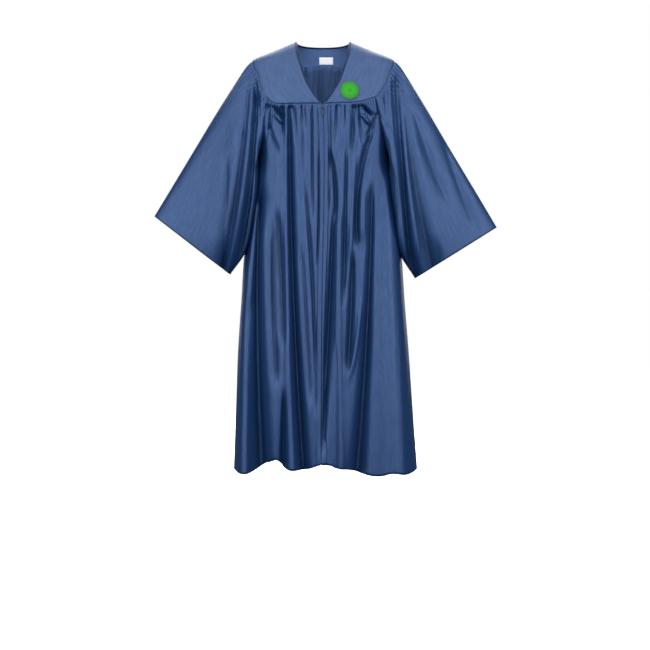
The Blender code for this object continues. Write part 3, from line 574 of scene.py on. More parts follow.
def armhole_loop(side, yoke, front, back_top, back):
    """The armhole's points: from the shoulder tip down the front to the underarm and up the back."""
    column = 0 if side > 0 else -1
    down = np.concatenate([yoke[:, -1], front[1 : ARMHOLE_ROWS + 1, -1]])
    up = np.concatenate([back_top[1:, column], back[1:ARMHOLE_ROWS, column]])[::-1]
    return np.concatenate([down, up]), len(down) - 1


def trunk_reach(y, drop, side):
    """Half-width of the form at a depth, below the underarm."""
    half, deep, square = section(drop, y > 0, side)
    return half * np.maximum(1 - (abs(y) / deep) ** square, 0) ** (1 / square)


def sleeve_rings(side, loop, underarm):
    """Rings of points of a sleeve, from the armhole to the cuff."""
    flat = loop[:, [0, 2]]
    chord, centre = flat[0] - flat[underarm], (flat[0] + flat[underarm]) / 2
    own = 2 * (flat - centre) @ chord / (chord @ chord)
    aside = (flat - centre) @ np.array([chord[1], -chord[0]]) / np.linalg.norm(chord)
    steps = np.linalg.norm(np.roll(loop, -1, axis=0) - loop, axis=1)
    travelled = np.concatenate([[0], np.cumsum(steps)])[:-1]
    down, around = travelled[underarm], steps.sum()
    in_front = np.arange(len(loop)) <= underarm
    half_turn = np.where(in_front, travelled / down, 1 + (travelled - down) / (around - down))
    share = (np.arange(SLEEVE_RINGS + 1) / SLEEVE_RINGS)[:, None] ** RING_CROWDING
    out_x, out_drop, in_x, in_drop, thick, forward = np.moveaxis(curve(SLEEVE[side], share), -1, 0)
    blend = ease(share / OVAL_FROM)
    level = mix(own[None], np.cos(np.pi * half_turn)[None], blend)
    oval = thick * np.maximum(1 - abs(level) ** FLAT_TUBE, 0) ** (1 / FLAT_TUBE)
    y = mix(loop[None, :, 1], np.where(in_front, -oval, oval), blend) - forward * ease((1 - level) / 2)
    run_x, run_z = side * (out_x - in_x) / 2, (in_drop - out_drop) / 2
    stray = aside[None] * (1 - ease(share / STRAIGHT_FROM)) / np.hypot(run_x, run_z)
    x = side * (out_x + in_x) / 2 + run_x * level + run_z * stray
    z = -(out_drop + in_drop) / 2 + run_z * level - run_x * stray
    front = -lift_of(SLEEVE_FRONT_FOLDS[side], x, -z, ARMHOLE_SEAM)
    back = lift_of(SLEEVE_BACK_FOLDS[side], x, -z, ARMHOLE_SEAM)
    y += np.where(in_front, front, back) * ease(share / FOLDS_FROM) * (1 - abs(level) ** EDGE_POWER)
    least = trunk_reach(y, -z, side) + SLEEVE_CLEAR * ease(share / CLEAR_FROM)
    x = np.where(-z > UNDERARM - CLEAR_ABOVE, side * np.maximum(abs(x), least), x)
    rings = np.stack([x, y, z], -1)
    rings[0] = loop
    return rings


# %% [markdown]
# ## From rows of points to sewn cloth
#
# Small puffs make the cloth look sewn: the gathers swell just below a seam, the yoke's turned edge
# stands a little proud, and a flat band runs beside the zip. Each is a height added along the cloth's
# own direction. Where two pieces meet, their directions are averaged so that no crack shows.


# %% Directions and puffs
def facing(points, ring=False):
    """Unit normals of a grid of points."""
    down = np.gradient(points, axis=0)
    across = np.gradient(points, axis=1)
    if ring:
        across = np.roll(points, -1, axis=1) - np.roll(points, 1, axis=1)
    normals = np.cross(down, across)
    return normals / np.linalg.norm(normals, axis=-1, keepdims=True)


CLOTH = 1.1  # more than satin's own thickness, because its seams and hems are doubled
PUFFS_FROM = 7
MEETING = 0.2


def gathers(place, below, pitch, height, reach):
    """Small puffs along a gathered seam, dying away below it. Slower waves make them uneven."""
    stray = 1.9 * np.sin(place / (1.7 * pitch)) + 0.9 * np.sin(place / 31)
    swing = 0.75 + 0.25 * np.sin(place / (2.3 * pitch) + 1.0)
    puffs = 0.35 + np.sin(2 * np.pi * place / pitch + stray) * swing
    return height * puffs * ease(below / PUFFS_FROM) * np.exp(-below / reach)


# %% [markdown]
# A class keeps a piece's points, its puffs and the way it faces together. It faces outwards: away from
# the body's middle line, or away from the middle of each ring of a sleeve.


# %% A piece of cloth
class Piece:
    """A sewn piece of cloth: its points, its puffs and the way it faces at each point."""

    def __init__(self, name, points, ring=False):
        self.name, self.points, self.ring = name, points, ring
        self.puff = np.zeros(points.shape[:2])
        self.normals = facing(points, ring)
        middle = points.mean(axis=1, keepdims=True) if ring else points * [0, 0, 1]
        if ((points - middle) * self.normals).sum() < 0:
            self.normals = -self.normals
        self.sign = np.sign((facing(points, ring) * self.normals).sum())

    def raised(self):
        """Add the puffs to the points and find the normals again."""
        self.points = self.points + self.normals * self.puff[..., None]
        self.normals = facing(self.points, self.ring) * self.sign

    def rim(self):
        """Row and column of each point on an edge."""
        rows, columns = self.puff.shape
        mask = np.zeros((rows, columns), bool)
        mask[[0, -1]] = True
        if not self.ring:
            mask[:, [0, -1]] = True
        return np.argwhere(mask)


# %% [markdown]
# Points on the rims of two pieces that lie within a fraction of a millimetre of each other are sewn
# together. A k-d tree finds them quickly among thousands.


# %% Shared directions at the seams
def share_normals(pieces):
    """Average the normals of pieces at the points where they meet."""
    spots = [(piece, i, j) for piece in pieces for i, j in piece.rim()]
    tree = kdtree.KDTree(len(spots))
    for index, (piece, i, j) in enumerate(spots):
        tree.insert(piece.points[i, j], index)
    tree.balance()
    shared = []
    for piece, i, j in spots:
        met = [spots[index] for _, index, _ in tree.find_range(piece.points[i, j], MEETING)]
        total = sum(other.normals[a, b] for other, a, b in met)
        shared.append(total / max(np.linalg.norm(total), 0.01))
    for (piece, i, j), normal in zip(spots, shared):
        piece.normals[i, j] = normal


# %% [markdown]
# ## Making the mesh
#
# A grid of the right number of rows and columns is bent into place by moving its points. A solidify
# modifier then gives it thickness, and the inside of the cloth gets its own material slot, because
# satin is dull on the back. A sleeve's grid is closed by merging its two meeting edges. Each point
# also keeps a number that says how deep in a fold it sits. The finish reads it to paint shade there.


# %% A grid becomes a piece of cloth
HOLLOW_REACH, HOLLOW_DEPTH = 13.0, 6.0  # how far off the neighbours are, and how deep is fully hollow


def finish_mesh(maker, name, materials):
    """Turn a bmesh into a shaded object at the origin."""
    mesh = bpy.data.meshes.new(name)
    maker.to_mesh(mesh)
    maker.free()
    item = bpy.data.objects.new(name, mesh)
    scene.collection.objects.link(item)
    for material in materials:
        mesh.materials.append(material)
    mesh.shade_smooth()
    print(name, "faces:", len(mesh.polygons))
    return item


def hollows(points, ring, flipped):
    """How far each point sits in a fold, from 0 to 1, judged by its neighbours to both sides."""
    place = np.arange(points.shape[1])
    reach = max(2, round(HOLLOW_REACH / np.median(np.linalg.norm(np.diff(points, axis=1), axis=-1))))
    before, after = np.maximum(place - reach, 0), np.minimum(place + reach, len(place) - 1)
    if ring:
        before, after = (place - reach) % (len(place) - 1), (place + reach) % (len(place) - 1)
    outward = facing(points) * (1 if flipped else -1)
    depth = (((points[:, before] + points[:, after]) / 2 - points) * outward).sum(axis=-1)
    return np.clip(depth / HOLLOW_DEPTH, 0, 1)


def bend_grid(name, points, materials, ring=False, flipped=False):
    """Object made from a flat grid moved onto an array of places, with a UV map in metres."""
    if ring:
        points = np.concatenate([points, points[:, :1]], axis=1)
    rows, columns = points.shape[:2]
    maker = bmesh.new()
    bmesh.ops.create_grid(maker, x_segments=columns - 1, y_segments=rows - 1, size=1)
    if flipped:
        bmesh.ops.reverse_faces(maker, faces=maker.faces)
    maker.loops.layers.uv.new("cloth")
    item = finish_mesh(maker, name, materials)
    mesh = item.data
    mesh.vertices.foreach_set("co", (points * MM).ravel())
    corners = np.empty(len(mesh.loops), int)
    mesh.loops.foreach_get("vertex_index", corners)
    flat = np.stack([run_length(points, 1).ravel(), run_length(points, 0).ravel()], -1) * MM
    mesh.uv_layers["cloth"].data.foreach_set("uv", flat[corners].ravel())
    # This number is also the mask for the painted shade that the finishes put in the folds.
    painted_shade_mask = mesh.attributes.new("painted_shade_mask", "FLOAT", "POINT")
    painted_shade_mask.data.foreach_set("value", hollows(points, ring, flipped).ravel())
    if ring:
        maker = bmesh.new()
        maker.from_mesh(mesh)
        bmesh.ops.remove_doubles(maker, verts=maker.verts, dist=1e-6)
        maker.to_mesh(mesh)
        maker.free()
    mesh.update()
    return item


# %% [markdown]
# The thickness stays a modifier, so it can still be changed. A piece of the gown is thickened inwards
# only, from a surface half a thickness out, so that its middle stays where the seams were drawn.


# %% Thickness
def thicken(item, thickness, offset=0.0):
    """Give a sheet its thickness. Its inside takes the material slot after its outside's."""
    thick = item.modifiers.new("thickness", "SOLIDIFY")
    thick.thickness, thick.offset = thickness * MM, offset
    thick.material_offset = 1
    return item


def sew(piece, outside, inside):
    """Object of a piece of cloth, its outside half a thickness out from its points."""
    outer = piece.points + piece.normals * CLOTH / 2
    item = bend_grid(piece.name, outer, [outside, inside], piece.ring, piece.sign > 0)
    return thicken(item, CLOTH, -1.0)


# %% [markdown]
# ## Materials
#
# Satin is woven so that long threads lie on its face. They catch the light together, which gives a
# soft, broad shine on every part that faces it, while folds that turn away fall to deep navy. A
# finish is a tree of nodes, and these helpers add a node with its inputs in one line.

# %% Node helpers
def fill(tree, node, inputs):
    """Give a node's inputs their values or links."""
    for name, given in inputs.items():
        if isinstance(given, bpy.types.NodeSocket):
            tree.links.new(given, node.inputs[name])
        else:
            node.inputs[name].default_value = given


def add_node(tree, kind, inputs=None, **settings):
    """Node of a kind with its settings and inputs."""
    node = tree.nodes.new("ShaderNode" + kind)
    for key, value in settings.items():
        setattr(node, key, value)
    fill(tree, node, inputs or {})
    return node


def math_node(tree, operation, *values):
    """Result of a sum of values or links."""
    return add_node(tree, "Math", dict(enumerate(values)), operation=operation).outputs[0]


def mixed(tree, share, low, high):
    """Colour between two, by a share."""
    inputs = {"Factor": share, "A": low, "B": high}
    return add_node(tree, "Mix", inputs, data_type="RGBA").outputs["Result"]


def ranged(tree, value, low, high, start=0.0, end=1.0):
    """Number from low to high, as a value goes from start to end."""
    inputs = {"Value": value, "From Min": start, "From Max": end, "To Min": low, "To Max": high}
    return add_node(tree, "MapRange", inputs).outputs[0]


def drawn_noise(tree, source, stretch, **inputs):
    """Noise drawn out by a different amount along each axis."""
    drawn = add_node(tree, "VectorMath", {0: source, 1: stretch}, operation="MULTIPLY")
    inputs = {"Vector": drawn.outputs[0], "Scale": 1.0, **inputs}
    return add_node(tree, "TexNoise", inputs).outputs[0]


def new_group(name, inputs, outputs):
    """Empty node group with named numbers in and out. Returns it and its two end nodes."""
    group = bpy.data.node_groups.new(name, "ShaderNodeTree")
    for socket, value in inputs.items():
        made = group.interface.new_socket(socket, in_out="INPUT", socket_type="NodeSocketFloat")
        made.default_value = value
    for socket in outputs:
        group.interface.new_socket(socket, in_out="OUTPUT", socket_type="NodeSocketFloat")
    return group, group.nodes.new("NodeGroupInput"), group.nodes.new("NodeGroupOutput")


# %% [markdown]
# The fine weave group reads the cloth's own map, so its threads follow the cloth wherever it bends.
# Height is the crossing of the threads, Shade is the uneven thickness of single threads and Streak is
# the long faint lines that satin shows along its length. The soft unevenness group reads places in
# space instead: Height is for slow lumps and Cloud for slow changes of tone.

# %% The two shared groups
weave_group, given, wanted = new_group(
    "fine weave", {"Thread": 0.0011, "Slub": 0.5}, ("Height", "Shade", "Streak")
)
cloth_map = add_node(weave_group, "UVMap", uv_map="cloth").outputs[0]
apart = add_node(weave_group, "SeparateXYZ", {0: cloth_map})
waves = []
for axis in (0, 1):
    count = math_node(weave_group, "DIVIDE", apart.outputs[axis], given.outputs["Thread"])
    waves.append(math_node(weave_group, "SINE", math_node(weave_group, "MULTIPLY", count, 2 * math.pi)))
slub = drawn_noise(weave_group, cloth_map, (900, 60, 1), Detail=2.0)
outcome = {
    "Height": math_node(weave_group, "MULTIPLY_ADD", *waves),
    "Shade": math_node(weave_group, "MULTIPLY", slub, given.outputs["Slub"]),
    "Streak": drawn_noise(weave_group, cloth_map, (150, 22, 1), Detail=3.0, Roughness=0.6),
}
fill(weave_group, wanted, outcome)

soft_group, given, wanted = new_group(
    "soft unevenness", {"Size": 14.0, "Stretch": 0.25}, ("Height", "Cloud")
)
place = add_node(soft_group, "TexCoord").outputs["Object"]
stretch = add_node(soft_group, "CombineXYZ", {0: 1.0, 1: 1.0, 2: given.outputs["Stretch"]}).outputs[0]
lumps = {"Scale": given.outputs["Size"], "Detail": 3.0, "Roughness": 0.45}
cloud = add_node(soft_group, "TexNoise", {"Vector": place, "Scale": 3.0, "Detail": 2.0}).outputs[0]
fill(soft_group, wanted, {"Height": drawn_noise(soft_group, place, stretch, **lumps), "Cloud": cloud})
print("groups:", [group.name for group in (weave_group, soft_group)])

# %% [markdown]
# Every woven finish is the same recipe with other numbers. The colour under the shine is very dark,
# because polyester satin looks blue mostly by what it reflects: the reflection itself is tinted. The
# relief is lumps, streaks and threads added up in one bump. Where a fold is hollow, the colour and the
# shine are both lowered: painted shade, standing in for the shade that cloth casts into its own folds.

# %% Cloth finishes
# In a fold's hollow the colour falls to one share and the shine to another: painted shade.
CLOUD_SHADE, PAINTED_SHADE_COLOUR_SHARE = 0.8, 0.6
STREAK_HEIGHT, STREAK_START, STREAK_END = 0.0008, 0.35, 0.65
STREAK_SHINE, PAINTED_SHADE_SHINE_SHARE = 0.74, 0.5
SMOOTHER, ROUGHER = 0.04, 0.05


def new_finish(name):
    """New material. Returns it, its tree and its shader."""
    material = bpy.data.materials.new(name)
    material.use_nodes = True
    return material, material.node_tree, material.node_tree.nodes["Principled BSDF"]


def paint(colour, share=1.0):
    """A colour as a node takes it, at a share of its brightness."""
    return (*(value * share for value in colour), 1)


def group_outputs(tree, group, **inputs):
    """Outputs of a shared group placed in a finish."""
    return add_node(tree, "Group", inputs, node_tree=group).outputs


def cloth_finish(
    name, colour, shine, tint, roughness, index=1.5, thread=0.0011, weave=0.00002, lump=0.0016, size=14.0
):
    """Woven cloth: a deep colour, a tinted shine, the two shared groups and painted shade in fold hollows.
    """
    material, tree, shader = new_finish(name)
    fine = group_outputs(tree, weave_group, Thread=thread)
    soft = group_outputs(tree, soft_group, Size=size)
    relief = 0.0
    for source, height in ((soft["Height"], lump), (fine["Streak"], STREAK_HEIGHT), (fine["Height"], weave)):
        relief = math_node(tree, "MULTIPLY_ADD", source, height, relief)
    raised = add_node(tree, "Bump", {"Height": relief, "Distance": 1.0, "Strength": 1.0})
    # Colour and shine drop where the cloth sits deep in a fold: painted shade.
    painted_shade_mask = add_node(tree, "Attribute", attribute_name="painted_shade_mask").outputs["Fac"]
    tone = mixed(tree, soft["Cloud"], paint(colour, CLOUD_SHADE), paint(colour))
    gloss = ranged(tree, fine["Streak"], STREAK_SHINE * shine, shine, STREAK_START, STREAK_END)
    looks = {
        "Normal": raised.outputs[0],
        "Base Color": mixed(tree, painted_shade_mask, tone, paint(colour, PAINTED_SHADE_COLOUR_SHARE)),
        "Roughness": ranged(tree, fine["Shade"], roughness - SMOOTHER, roughness + ROUGHER),
        "IOR": index,
        "Specular IOR Level": math_node(tree, "MULTIPLY", gloss, ranged(tree, painted_shade_mask, 1.0, PAINTED_SHADE_SHINE_SHARE)),
        "Specular Tint": paint(tint),
    }
    fill(tree, shader, looks)
    return material


# %% [markdown]
# The gown's cloths. The yoke lies flat and is lined, so its satin is smoother in the large and shines
# a little more evenly. The reverse of the satin and the yoke's lining are duller and lighter. The
# binding and the zip tapes are plain weave.

# %% The gown's cloths
SHINE = (0.36, 0.54, 1.0)
YOKE_SHINE = (0.40, 0.57, 1.0)
WHITE = (1.0, 1.0, 1.0)
satin = cloth_finish("satin", (0.0048, 0.022, 0.071), 1.0, SHINE, 0.42, index=1.48)
yoke_satin = cloth_finish(
    "yoke satin", (0.005, 0.021, 0.066), 1.0, YOKE_SHINE, 0.48, index=1.56, lump=0.0006, size=9.0
)
reverse = cloth_finish("satin back", (0.060, 0.112, 0.250), 0.3, SHINE, 0.6)
# The lining's colour is lighter than the reverse's: its own colour plus painted light, since the inside of
# the back yoke turns away from the lights.
lining_with_painted_light = cloth_finish("yoke lining", (0.100, 0.185, 0.400), 0.3, SHINE, 0.6)
binding_cloth = cloth_finish("binding", (0.004, 0.014, 0.045), 0.35, SHINE, 0.5, lump=0.0004)
tape_cloth = cloth_finish("zip tape", (0.003, 0.012, 0.040), 0.3, SHINE, 0.7, thread=0.0016, weave=0.00008)
label_cloth = cloth_finish(
    "label", (0.92, 0.93, 0.94), 0.4, WHITE, 0.6, thread=0.0012, weave=0.00004, lump=0.0002
)
# The label glows faintly: painted light that brightens it where the neck shades it.
label_painted_glow = {"Emission Color": (0.95, 0.97, 1.0, 1), "Emission Strength": 0.28}
fill(label_cloth.node_tree, label_cloth.node_tree.nodes["Principled BSDF"], label_painted_glow)
print("cloth finishes:", len(bpy.data.materials))

# %% [markdown]
# ## Sewing the pieces
#
# Now the pieces are made in the order a maker would: yokes, fronts and back, then sleeves set into
# the armholes the body leaves open.

# %% Yokes, fronts and back
SIDES = {-1: "right", 1: "left"}
pieces = {"back_yoke": Piece("back_yoke_cloth", back_yoke()), "back": Piece("back_cloth", back_panel())}
for side, word in SIDES.items():
    pieces["yoke_" + word] = Piece("front_yoke_cloth_" + word, front_yoke(side))
    pieces["front_" + word] = Piece("front_cloth_" + word, front_panel(side))
    loop, underarm = armhole_loop(
        side,
        pieces["yoke_" + word].points,
        pieces["front_" + word].points,
        pieces["back_yoke"].points,
        pieces["back"].points,
    )
    pieces["sleeve_" + word] = Piece("sleeve_cloth_" + word, sleeve_rings(side, loop, underarm), ring=True)

print("pieces cut:", len(pieces))

# %% [markdown]
# Next come the puffs that sewing makes. The yoke stands a little proud of its seams. The fronts and
# the back swell where they are gathered, more towards the armholes, and a line of stitches holds the
# flat band beside the zip. The sleeves are gathered only round the head, on both sides of the tip.

# %% Gathers, edges and stitches
YOKE_PUFF, YOKE_EDGE_WIDTH = 0.9, 3.5
ZIP_FLAT, BAND_WIDTH, BAND_RISE = 12, 10, 0.9
STITCH_AT, STITCH_WIDTH, STITCH_DEPTH = 14.5, 2.6, 3.2
OUTER_FROM, OUTER_GAIN = 80, 0.9
HEAD_FROM_TIP = 60


def near(place, middle, width):
    """A smooth hump around a place."""
    return np.exp(-(((place - middle) / width) ** 2))


def seam_place(panel):
    """How far along its seam each column of a panel lies."""
    return run_length(panel.points, 1)[ARMHOLE_ROWS // 2][None]


back = pieces["back"]
back.puff = gathers(seam_place(back), run_length(back.points, 0), 12.0, 1.2, 60)
for side, word in SIDES.items():
    yoke, front, sleeve = (pieces[kind + word] for kind in ("yoke_", "front_", "sleeve_"))
    to_seam = run_length(yoke.points[::-1], 0)[::-1]
    to_armhole = run_length(yoke.points[:, ::-1], 1)[:, ::-1]
    to_edge = np.minimum(np.minimum(to_seam, to_armhole), run_length(yoke.points, 0))
    yoke.puff = YOKE_PUFF * (1 - near(to_edge, 0, YOKE_EDGE_WIDTH))
    from_zip, from_seam = run_length(front.points, 1), run_length(front.points, 0)
    gathered = gathers(seam_place(front) + 40 * side, from_seam, 10.5, 1.4, 42)
    gathered *= ease((from_zip - ZIP_FLAT) / 10)
    gathered *= ease((front.points[..., 2] + UNDERARM) / 60)
    gathered *= 1 + OUTER_GAIN * ease((abs(front.points[..., 0]) - OUTER_FROM) / 40)
    band = BAND_RISE * (1 - ease((from_zip - BAND_WIDTH) / 3))
    band -= STITCH_DEPTH * near(from_zip, STITCH_AT, STITCH_WIDTH)
    front.puff = gathered + band * ease(from_seam / 14)
    around = run_length(sleeve.points[:1], 1)
    head = near(around, HEAD_FROM_TIP, 95) + near(around, around.max() - HEAD_FROM_TIP, 80)
    sleeve.puff = gathers(around, run_length(sleeve.points, 0), 11.0, 2.5, 65) * head
print("tallest puff on a front, in mm:", round(float(pieces["front_left"].puff.max()), 2))

# %% [markdown]
# With the puffs added and the directions shared, each piece becomes an object. The yokes have a lining
# on the inside, and the others show the satin's reverse.

# %% Sewing
for piece in pieces.values():
    piece.raised()
share_normals(pieces.values())
cloth = {}
for key, piece in pieces.items():
    finishes = (yoke_satin, lining_with_painted_light) if "yoke" in key else (satin, reverse)
    cloth[key] = sew(piece, *finishes)

# %% [markdown]
# ## Hems and binding
#
# The neck is bound with a narrow folded strip. It wraps round the cut edge, so its section is a
# flattened U: up the inside, round the edge and down the outside. The strip is one grid whose columns
# follow that U.

# %% Neck binding
BINDING_SECTION = (
    # into the piece, out of the cloth
    (0.75, -1.2),
    (0.0, -1.3),
    (-0.12, -0.7),
    (-0.15, 0.0),
    (-0.1, 0.9),
    (0.05, 1.5),
    (0.5, 1.75),
    (0.92, 1.55),
    (1.0, 0.9),
)


BINDING_WIDTH, BACK_BINDING_WIDTH = 4.8, 4.2


def inside(points, normals, distance):
    """Point and normal at a distance along a row of points."""
    lengths = run_length(points, 0)
    spot = np.array([np.interp(distance, lengths, points[:, k]) for k in range(3)])
    normal = np.array([np.interp(distance, lengths, normals[:, k]) for k in range(3)])
    return spot, normal / np.linalg.norm(normal)


def binding_row(points, normals, width):
    """Points of the binding's section, on a row of cloth that starts at the neck edge."""
    edge, normal = inside(points, normals, 0.0)
    into = inside(points, normals, 2.0)[0] - edge
    into = into / np.linalg.norm(into)
    row = []
    for share, out in BINDING_SECTION:
        on_cloth = inside(points, normals, share * width)
        spot, up = on_cloth if share > 0 else (edge + into * share * width, normal)
        row.append(spot + up * out)
    return row


def yoke_binding(yoke, order):
    """Rows of binding along a front yoke's neck edge."""
    return [binding_row(yoke.points[i], yoke.normals[i], BINDING_WIDTH) for i in order]


rows = yoke_binding(pieces["yoke_right"], range(YOKE_ROWS - 1, 0, -1))
yoke = pieces["back_yoke"]
first, last = FRONT_COLUMNS, BACK_COLUMNS - FRONT_COLUMNS
for j in range(last - 1, first, -1):
    width = mix(BINDING_WIDTH, BACK_BINDING_WIDTH, ease(min(j - first, last - j) / 6))
    rows.append(binding_row(yoke.points[:, j], yoke.normals[:, j], width))
rows += yoke_binding(pieces["yoke_left"], range(1, YOKE_ROWS))
binding = thicken(bend_grid("binding_cloth", np.array(rows), [binding_cloth]), 0.7)

# %% [markdown]
# ## The zip
#
# Two woven tapes lie behind the fronts' folded edges. Along them runs the coil, whose turns show as
# fine teeth in the gap. The slider rides on it near the top, with a pull tab hung from its bridge.
# Only the tab moves by itself: it swings on its bar.


# %% The zip's line and tapes
def zip_line():
    """Middle, across and normal of the zip at each row of the fronts."""
    right, left = pieces["front_right"], pieces["front_left"]
    middle = (right.points[:, 0] + left.points[:, 0]) / 2
    across = left.points[:, 0] - right.points[:, 0]
    across /= np.linalg.norm(across, axis=1, keepdims=True)
    normal = right.normals[:, 0] + left.normals[:, 0]
    normal -= across * (normal * across).sum(axis=1, keepdims=True)
    normal /= np.linalg.norm(normal, axis=1, keepdims=True)
    return middle, across, normal


middle, across, normal = zip_line()
TAPE_DISTANCES = np.linspace(1.0, 11.5, 5)
TAPE_EDGE, TAPE_EDGE_DEPTH, TAPE_DEPTH = 0.4, 1.9, 2.3
tapes = []
for side, word in SIDES.items():
    front = pieces["front_" + word]
    rows = []
    for i in range(len(middle)):
        row = [middle[i] + across[i] * side * TAPE_EDGE - normal[i] * TAPE_EDGE_DEPTH]
        for distance in TAPE_DISTANCES:
            spot, up = inside(front.points[i], front.normals[i], distance)
            row.append(spot - up * TAPE_DEPTH)
        rows.append(row)
    tapes.append(thicken(bend_grid("zip_tape_cloth_" + word, np.array(rows), [tape_cloth]), 0.6))

print("zip length, in mm:", round(float(run_length(middle, 0)[-1])))

# %% [markdown]
# A coil zip is two spirals that lock. From outside their turns show as fine teeth, left and right by
# turns, so a small stretched sphere is enough for each. All share one mesh, because none moves alone.

# %% Teeth
TOOTH_PITCH, TOOTH_ASIDE, TOOTH_DEPTH = 2.2, 0.7, 0.5
TOOTH_SIZE = (0.0017, 0.0007, 0.0009, 1)
BELOW_TEETH = 4
lengths = run_length(middle, 0)
maker = bmesh.new()
for number, distance in enumerate(np.arange(TOOTH_PITCH, lengths[-1] - BELOW_TEETH, TOOTH_PITCH / 2)):
    side = 1 if number % 2 else -1
    lines = (middle, across, normal)
    spot, way, out = (Vector([np.interp(distance, lengths, line[:, k]) for k in range(3)]) for line in lines)
    way, out = way.normalized(), out.normalized()
    spot = spot + way * side * TOOTH_ASIDE - out * TOOTH_DEPTH
    turned = Matrix((way, way.cross(out), out)).transposed().to_4x4()
    shape = Matrix.Translation(spot * MM) @ turned @ Matrix.Diagonal(TOOTH_SIZE)
    bmesh.ops.create_uvsphere(maker, u_segments=6, v_segments=4, radius=1, matrix=shape)
print("teeth:", number + 1)

# %% [markdown]
# The coil is nylon dyed to match, so it takes the cloth's tinted shine. The slider and the tab are
# plated metal, dark and worn a little uneven: that unevenness is only in how rough the metal is.

# %% Slider and pull finishes
def soft_height(tree, size):
    """Slow unevenness at a size, the same along every axis."""
    return group_outputs(tree, soft_group, Size=size, Stretch=1.0)["Height"]


metal, tree, shader = new_finish("plated metal")
plating = {"Metallic": 1.0, "Base Color": (0.030, 0.040, 0.062, 1)}
fill(tree, shader, {**plating, "Roughness": ranged(tree, soft_height(tree, 400.0), 0.25, 0.4)})

nylon, tree, shader = new_finish("nylon coil")
dyed = mixed(tree, soft_height(tree, 300.0), (0.002, 0.008, 0.03, 1), (0.006, 0.018, 0.06, 1))
polish = {"Roughness": 0.45, "Specular IOR Level": 0.3, "Specular Tint": paint(SHINE)}
fill(tree, shader, {"Base Color": dyed, **polish})
coil = finish_mesh(maker, "coil_teeth", [nylon])

# %% [markdown]
# The slider sits where the rigid model's joint is, so that the tab swings about its bridge's bar. All
# its parts are placed by three distances from there: across, out from the cloth and down the zip.

# %% Where the slider sits
SLIDER_DROP, SLIDER_LENGTH, SLIDER_WIDTH, SLIDER_THICK = 213.0, 11.0, 8.5, 2.6
COIL_FACE = 1.7
BRIDGE_LENGTH, BRIDGE_WIDTH, BRIDGE_BAR, BRIDGE_RISE = 8.0, 2.6, 1.4, 4.2
PULL_LENGTH, PULL_WIDTH, PULL_THICK, PULL_EYE, PULL_HOLE = 24.0, 6.5, 1.4, 3.6, 5.2

slider_row = int(np.argmin(abs(middle[:, 2] + SLIDER_DROP)))
out = Vector(normal[slider_row])
out = (out - Vector((1, 0, 0)) * out.x).normalized()
down = Vector((1, 0, 0)).cross(out).normalized()
down = -down if down.z > 0 else down
pivot = Vector(frame["joints"][0]["pos_m"]) / MM
lift = COIL_FACE + SLIDER_THICK + (BRIDGE_RISE - BRIDGE_BAR) / 2
spot = pivot - out * lift
print("slider is", round((spot - Vector(middle[slider_row])).length, 2), "mm from the zip's line")


def placed(x, height, along_zip):
    """Place on the zip from distances across, out of and down along it."""
    return (spot + Vector((x, 0, 0)) + out * height + down * along_zip) * MM


# %% [markdown]
# Each metal part is an outline swept into a solid. Real castings have no knife edges, so every edge
# sharper than an angle is bevelled, and the light finds it.

# %% Metal solids
SHARP_ANGLE = math.radians(25)


def solid(outline, way, hole=()):
    """Solid swept from an outline of places along a way, with a hole if one is given."""
    made = bmesh.new()
    rims = []
    for path in (outline, hole) if hole else (outline,):
        corners = [made.verts.new(corner) for corner in path]
        rims.append([made.edges.new(ends) for ends in zip(corners, corners[1:] + corners[:1])])
    if hole:
        faces = bmesh.ops.bridge_loops(made, edges=rims[0] + rims[1])["faces"]
    else:
        faces = [made.faces.new(corners)]
    swept = bmesh.ops.extrude_face_region(made, geom=faces)["geom"]
    moved = [part for part in swept if isinstance(part, bmesh.types.BMVert)]
    bmesh.ops.translate(made, vec=way * MM, verts=moved)
    bmesh.ops.recalc_face_normals(made, faces=made.faces)
    return made


def at_height(outline, height):
    """Places of an outline of (across, down) at a height out from the zip."""
    return [placed(x, height, along_zip) for x, along_zip in outline]


def metal_part(name, made, width):
    """Metal object from a solid whose sharp edges are bevelled to a width."""
    sharp = [edge for edge in made.edges if edge.calc_face_angle(0) > SHARP_ANGLE]
    bmesh.ops.bevel(
        made, geom=sharp, offset=width * MM, segments=3, profile=0.5, affect="EDGES", material=-1
    )
    return finish_mesh(made, name, [metal])


# %% [markdown]
# The slider's body is a small block, narrowed towards its ends. Its bridge is a square-cornered arch
# sunk a little into it.

# %% Slider and bridge
half_long, half_wide, waist = SLIDER_LENGTH / 2, SLIDER_WIDTH / 2, SLIDER_WIDTH * 0.36
upper, lower = -half_long * 0.4, half_long * 0.5
outline = [(-waist, -half_long), (waist, -half_long), (half_wide, upper), (half_wide, lower)]
outline += [(waist, half_long), (-waist, half_long), (-half_wide, lower), (-half_wide, upper)]
slider_body = metal_part("slider_body", solid(at_height(outline, COIL_FACE), out * SLIDER_THICK), 0.55)

TOP = COIL_FACE + SLIDER_THICK
SUNK = -0.3
half, inner, under = BRIDGE_LENGTH / 2, BRIDGE_LENGTH / 2 - BRIDGE_BAR, BRIDGE_RISE - BRIDGE_BAR
arch = [(-half, SUNK), (-half, BRIDGE_RISE), (half, BRIDGE_RISE), (half, SUNK)]
arch += [(inner, SUNK), (inner, under), (-inner, under), (-inner, SUNK)]
arch = [placed(-BRIDGE_WIDTH / 2, TOP + height, along_zip) for along_zip, height in arch]
slider_bridge = metal_part("slider_bridge", solid(arch, Vector((BRIDGE_WIDTH, 0, 0))), 0.25)

# %% [markdown]
# The tab is a flat plate with a round tip. Its slot hooks round the bridge's bar, and it is drawn
# hanging down, as it does at rest.

